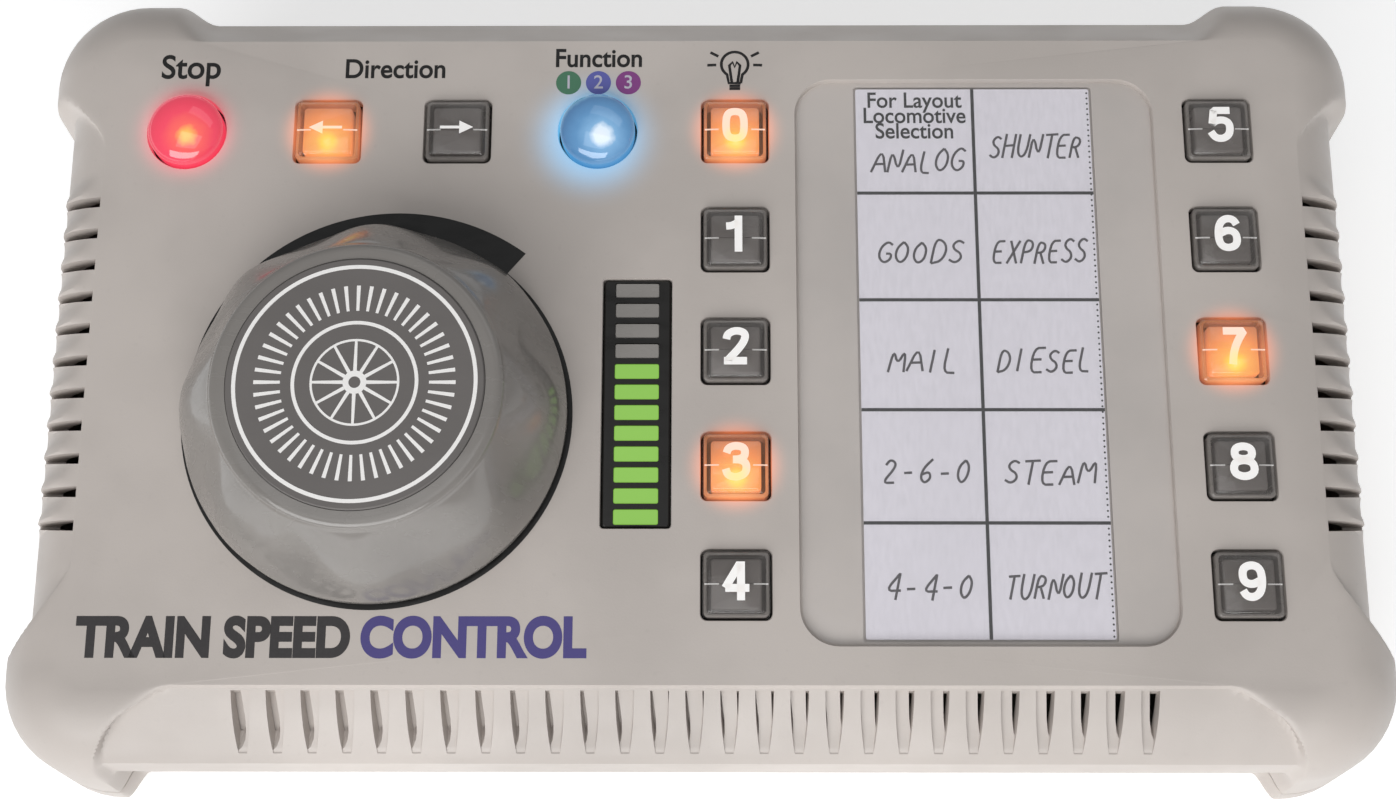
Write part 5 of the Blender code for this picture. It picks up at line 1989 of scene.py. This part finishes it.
# ---- printing on the panel
@dataclass
class PanelPrinting:
    """Words, symbols and the speed wedge printed on the panel."""

    axes: PanelAxes
    controls: Controls
    black: Material
    wedge: Material
    violet: Material
    grey: Material
    lift: float = 0.012 * MM

    def build(self) -> None:
        """Print everything."""
        self.words()
        self.speed_wedge()
        self.bulb()
        self.function_discs()

    def words(self) -> None:
        """Print the labels over the controls and a plain title."""
        c = self.controls
        for words, x, v in (("Stop", c.stop, 55.6 * MM), ("Direction", -51.1 * MM, 55.3 * MM),
                            ("Function", c.function, 57.2 * MM)):
            place = self.axes.matrix(x, v, self.lift)
            size = {"Function": 4.6, "Direction": 4.8, "Stop": 6.0}[words] * MM
            name = f"label_{words.lower()}"
            mount(printed_text(words, size, self.black, place, name, 0.09 * MM, 0.92), "console", "case")
        for words, x, ink, name in (("TRAIN SPEED", -75.6 * MM, self.grey, "title_main"),
                                    ("CONTROL", -35.2 * MM, self.violet, "title_second")):
            place = self.axes.matrix(x, -40.4 * MM, self.lift)
            mount(printed_text(words, 8.4 * MM, ink, place, name, 0.4 * MM, 0.86), "console", "case")

    def speed_wedge(self) -> None:
        """Print the tapering band that shows which way the speed rises, and lay a black ring under the knob's
        skirt.
        """
        builder = bmesh.new()
        start, end, steps = 49.6, 172.0, 64
        inner, outer = [], []
        for k in range(steps + 1):
            t = k / steps
            angle = math.radians(start + (end - start) * t)
            inner.append((29.0 * MM * math.cos(angle), 29.0 * MM * math.sin(angle)))
            radius = (35.8 - 4.9 * t) * MM
            outer.append((radius * math.cos(angle), radius * math.sin(angle)))
        prism(builder, outer + inner[::-1], 0.0, INK_THICKNESS)
        place = self.axes.matrix(*self.controls.knob, self.lift)
        mount(piece("speed_wedge", builder, self.wedge, place), "console", "case")
        # A black ring under the knob's skirt, which shows as a dark line round the skirt's foot.
        ring = bmesh.new()
        tube(ring, [at_height(circle(r * MM, 180), h * MM)
                    for r, h in ((31.35, 0.0), (31.35, 0.016), (27.0, 0.016), (27.0, 0.0))])
        mount(piece("black_ring_under_knob", ring, self.wedge, place), "console", "case")

    def bulb(self) -> None:
        """Draw the light-bulb symbol over key 0."""
        radius = 2.25 * MM
        glass = []
        for k in range(25):
            angle = math.radians(-55 + 290 * k / 24)
            glass.append((radius * math.cos(angle), radius * math.sin(angle)))
        neck = [(1.0 * MM, -3.4 * MM), (-1.0 * MM, -3.4 * MM)]
        strokes = [[neck[0]] + glass + [neck[1], neck[0]]]
        filament = ((-0.5, -3.2), (-0.9, -0.2), (-0.35, 0.4), (0.0, -0.5), (0.35, 0.4), (0.9, -0.2),
                    (0.5, -3.2))
        strokes.append([(x * MM, z * MM) for x, z in filament])
        strokes += [[(-0.9 * MM, z * MM), (0.9 * MM, z * MM)] for z in (-3.9, -4.4)]
        for angle in (28, 152, -2, 182):
            a = math.radians(angle)
            strokes.append([(r * MM * math.cos(a), r * MM * math.sin(a)) for r in (3.1, 4.6)])
        place = self.axes.matrix(self.controls.left_column, 56.2 * MM, self.lift)
        mount(pen_lines(strokes, 0.24 * MM, self.black, place, "lamp_symbol"), "console", "case")

    def function_discs(self) -> None:
        """Print the three small numbered discs over the function button."""
        white = Ink("disc_number", srgb(190, 188, 200)).build()
        colours = (srgb(70, 120, 92), srgb(92, 96, 170), srgb(130, 60, 130))
        for i, colour in enumerate(colours):
            x = self.controls.function + (i - 1) * 5.0 * MM
            builder = bmesh.new()
            prism(builder, circle(2.1 * MM, 48), 0.0, INK_THICKNESS)
            place = self.axes.matrix(x, 52.9 * MM, self.lift)
            ink = Ink(f"disc_{i + 1}", colour).build()
            mount(piece(f"function_disc_{i + 1}", builder, ink, place), "console", "case")
            place = self.axes.matrix(x, 52.9 * MM, self.lift + 0.03 * MM)
            mount(printed_text(str(i + 1), 3.4 * MM, white, place, f"function_number_{i + 1}", 0.02 * MM),
                  "console", "case")


# ---- rear sockets
@dataclass
class RearSockets:
    """Barrel and modular sockets in the rear wall."""

    black: Material
    gold: Material
    steel: Material

    def build(self) -> None:
        """Dress the sockets' CAD solids and add their contacts."""
        for node in BARREL_SOCKETS:
            low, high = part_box(node)
            centre = ((low.x + high.x) / 2, high.z - (high.x - low.x) / 2)
            pin = bmesh.new()
            profile = [(1.12, -10.0), (1.12, -1.6), (0.9, -1.1), (0.5, -0.85)]
            rings = [[(x, high.y + h * MM, z) for x, z in circle(r * MM, 24, centre)] for r, h in profile]
            loft(pin, rings)
            mount(piece(f"{node}_pin", pin, self.steel), "console", "steel")
            ring = bmesh.new()
            tube(ring, [[(x, high.y + h * MM, z) for x, z in circle(r * MM, 48, centre)]
                        for r, h in ((3.22, -9.8), (3.22, -1.2), (3.0, -1.2), (3.0, -9.8))])
            mount(piece(f"{node}_sleeve", ring, self.steel), "console", "steel")
        for node in MODULAR_SOCKETS:
            low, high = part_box(node)
            centre, top = (low.x + high.x) / 2, high.z - 6.0 * MM
            wire = bmesh.new()
            half = 0.22 * MM
            path = [(-9.5, 3.2), (-3.0, 2.6), (-8.0, 0.6)]
            rings = [[(a, high.y + y * MM, top + z * MM + b) for a, b in
                      ((-half, -half), (half, -half), (half, half), (-half, half))] for y, z in path]
            loft(wire, rings)
            pitch, count = 1.1 * MM, 6
            start = Vector((centre - (count - 1) / 2 * pitch, 0, 0))
            row = Row(f"{node}_contacts", count, start, Vector((pitch, 0, 0)))
            mount(row.build(wire, self.gold), "console", "steel")
        for node in BARREL_SOCKETS + MODULAR_SOCKETS:
            dress(node, self.black)


def dress(node: str, finish: Material) -> None:
    """Give a CAD node that stays in view a finish.

    Args:
        node: The CAD node.
        finish: Its finish.
    """
    slots = bpy.data.objects[node].data.materials
    slots.clear()
    slots.append(finish)


# ---- stage
@dataclass
class Stage:
    """Floor, light and camera."""

    axes: PanelAxes
    focal: float = 50.57
    eye: tuple[float, float, float] = (2.0 * MM, -81.4 * MM, 303.9 * MM)
    tilt: float = math.radians(14.65)
    yaw: float = math.radians(0.41)

    def build(self) -> None:
        """Make the stage."""
        self.camera()
        self.floor()
        self.lights()

    def camera(self) -> None:
        """Look down on the panel from over its front edge."""
        data = bpy.data.cameras.new("camera")
        data.lens = self.focal
        data.sensor_width = 36.0
        data.clip_start = 0.01
        eye = link("camera", data)
        look = Matrix.Rotation(self.tilt, 4, "X") @ Matrix.Rotation(self.yaw, 4, "Y")
        eye.matrix_world = self.axes.matrix(*self.eye) @ look
        bpy.context.scene.camera = eye

    def floor(self) -> None:
        """Lay a wide pale floor."""
        builder = bmesh.new()
        prism(builder, rounded(6.0, 6.0, 0.5, 4), -0.01, 0.0)
        nodes = Nodes("floor")
        cloud = nodes.noise(3.0, 3.0)
        colour = nodes.blend(cloud, (0.86, 0.86, 0.86), (0.9, 0.9, 0.9))
        nodes.surface(Base_Color=colour, Roughness=0.7, Emission_Color=colour, Emission_Strength=0.45)
        piece("floor", builder, nodes.material)

    def lights(self) -> None:
        """Hang one broad light low over the front, a weaker one overhead and a faint one behind."""
        world = bpy.data.worlds.new("studio")
        world.use_nodes = True
        sky = world.node_tree.nodes["Background"].inputs
        sky["Color"].default_value = (0.98, 0.99, 1.0, 1.0)
        sky["Strength"].default_value = 0.3
        bpy.context.scene.world = world
        for name, spot, size, power in (("front", (-0.2, -0.74, 0.5), (1.1, 0.5), 7.0),
                                        ("top", (-0.1, -0.3, 1.3), (0.9, 0.7), 2.0),
                                        ("back", (0.2, 0.5, 0.8), (0.8, 0.3), 0.4)):
            data = bpy.data.lights.new(name, "AREA")
            data.shape = "RECTANGLE"
            data.size, data.size_y = size
            data.energy = power
            lamp = link(name, data)
            lamp.location = spot
            lamp.rotation_euler = (-Vector(spot)).to_track_quat("-Z", "Y").to_euler()
        bpy.context.scene.view_settings.view_transform = "Standard"


def build_keys(axes: PanelAxes, controls: Controls, rim: Material) -> None:
    """Make every square key and both domes.

    Args:
        axes: The panel's axes.
        controls: Where they stand.
        rim: Finish of their skirts.
    """
    # The unlit keys' legend ink glows faintly: painted light that keeps the numerals and moulding lines pale.
    finishes = KeyFinishes(ClearPlastic("smoke_cap", srgb(120, 114, 110), 0.22, 0.12).build(),
                           ClearPlastic("amber_cap", srgb(225, 150, 105), 0.12, 0.1).build(),
                           GlossPlastic("key_insert", srgb(124, 118, 115), 0.35, 0.1, 0.0, 0.0).build(),
                           GlossPlastic("key_frame", srgb(132, 127, 123), 0.3, 0.1, 0.0, 0.2).build(), rim,
                           Ink("key_legend", srgb(240, 238, 236), 0.35, 0.2).build())
    for node, spot in controls.keys().items():
        SquareKey(node, spot, controls.lamp(node), axes).build(finishes)
    for node, x, lamp, slot in (("stop_button", controls.stop, Lamp.RED, "red_dome"),
                                ("function_button", controls.function, Lamp.BLUE, "blue_dome")):
        DomeButton(node, x, controls.top_row, lamp, slot, axes).build(rim)


def dress_inside() -> None:
    """Finish the CAD nodes that are glimpsed through the vents."""
    board = CircuitBoard("board_green", srgb(20, 84, 48)).build()
    black = MouldedPlastic("part_black", srgb(34, 33, 33), 0.5).build()
    steel = Metal("plated_steel", srgb(190, 188, 184)).build()
    alloy = Metal("sink_alloy", srgb(206, 208, 212), 0.4).build()
    grey = MouldedPlastic("ribbon_grey", srgb(168, 168, 166), 0.6).build()
    for node in ("panel_board", "main_board"):
        dress(node, board)
    switches = [f"switch_{i}" for i in range(10)]
    switches += ["direction_switch_left", "direction_switch_right", "stop_switch", "function_switch"]
    for node in switches + ["power_driver", "rectifier", "microcontroller", "smoothing_capacitor"]:
        dress(node, black)
    for node in ("encoder_shaft", "encoder_nut", "speed_encoder"):
        dress(node, steel)
    dress("heat_sink", alloy)
    dress("board_link", grey)


def main() -> None:
    """Build the controller's looks round its frame."""
    logging.basicConfig(level=logging.INFO, format="%(name)s: %(message)s")
    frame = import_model()
    controls = Controls()
    axes = PanelAxes.from_record(frame["record"], controls.knob)
    Stage(axes).build()
    halos = controls.halos(axes)
    case_finish = MouldedPlastic("case_plastic", srgb(190, 182, 176), halos=halos).build()
    black_gloss = GlossPlastic("gloss_black", srgb(16, 14, 12), 0.35, 0.06, 0.0, 0.0).build()
    rim = MouldedPlastic("key_skirt", srgb(30, 28, 27), 0.5).build()
    rubber = Rubber("foot_rubber", srgb(38, 37, 36)).build()
    steel = Metal("screw_steel", srgb(180, 178, 172), 0.28).build()
    case = Case(axes, controls, CaseForm(axes), case_finish, rubber, steel)
    case.build_top()
    case.build_tray()
    case.build_louvres()
    case.dress_feet()
    build_keys(axes, controls, rim)
    knob = GlossPlastic("knob_grey", srgb(128, 124, 120), 0.22, 0.04, 0.0, 0.4).build()
    badge = GlossPlastic("badge_grey", srgb(104, 100, 98), 0.45, 0.05, 0.0, 0.0).build()
    SpeedKnob(axes, controls.knob, knob, badge, Ink("badge_ink", srgb(246, 244, 242)).build()).build()
    green = LampGlow("segment_green", axes.point(-10.1 * MM, -10 * MM, -5 * MM),
                     ((0.0, srgb(148, 204, 88)), (1.0, srgb(130, 188, 74))), 40 * MM, 0.8,
                     srgb(60, 90, 30), 0.3).build()
    unlit = GlossPlastic("segment_grey", srgb(140, 136, 132), 0.3).build()
    BarGraph(axes, controls.bar, black_gloss, green, unlit).build()
    print_black = Ink("print_black", srgb(14, 12, 13)).build()
    NameCard(axes, controls.card, Paper("card_paper", srgb(228, 224, 232)).build(), print_black,
             Ink("pencil", srgb(72, 68, 72)).build(),
             ClearPlastic("clear_cover", srgb(235, 235, 238), 0.05, 0.04).build()).build()
    wedge = GlossPlastic("wedge_black", srgb(8, 7, 6), 0.4, 0.06, 0.0, 0.0).build()
    PanelPrinting(axes, controls, print_black, wedge, Ink("title_violet", srgb(72, 64, 128)).build(),
                  Ink("title_grey", srgb(48, 45, 46)).build()).build()
    RearSockets(rim, Metal("contact_gold", srgb(222, 184, 96), 0.25).build(), steel).build()
    dress_inside()


if __name__ == "__main__":
    main()
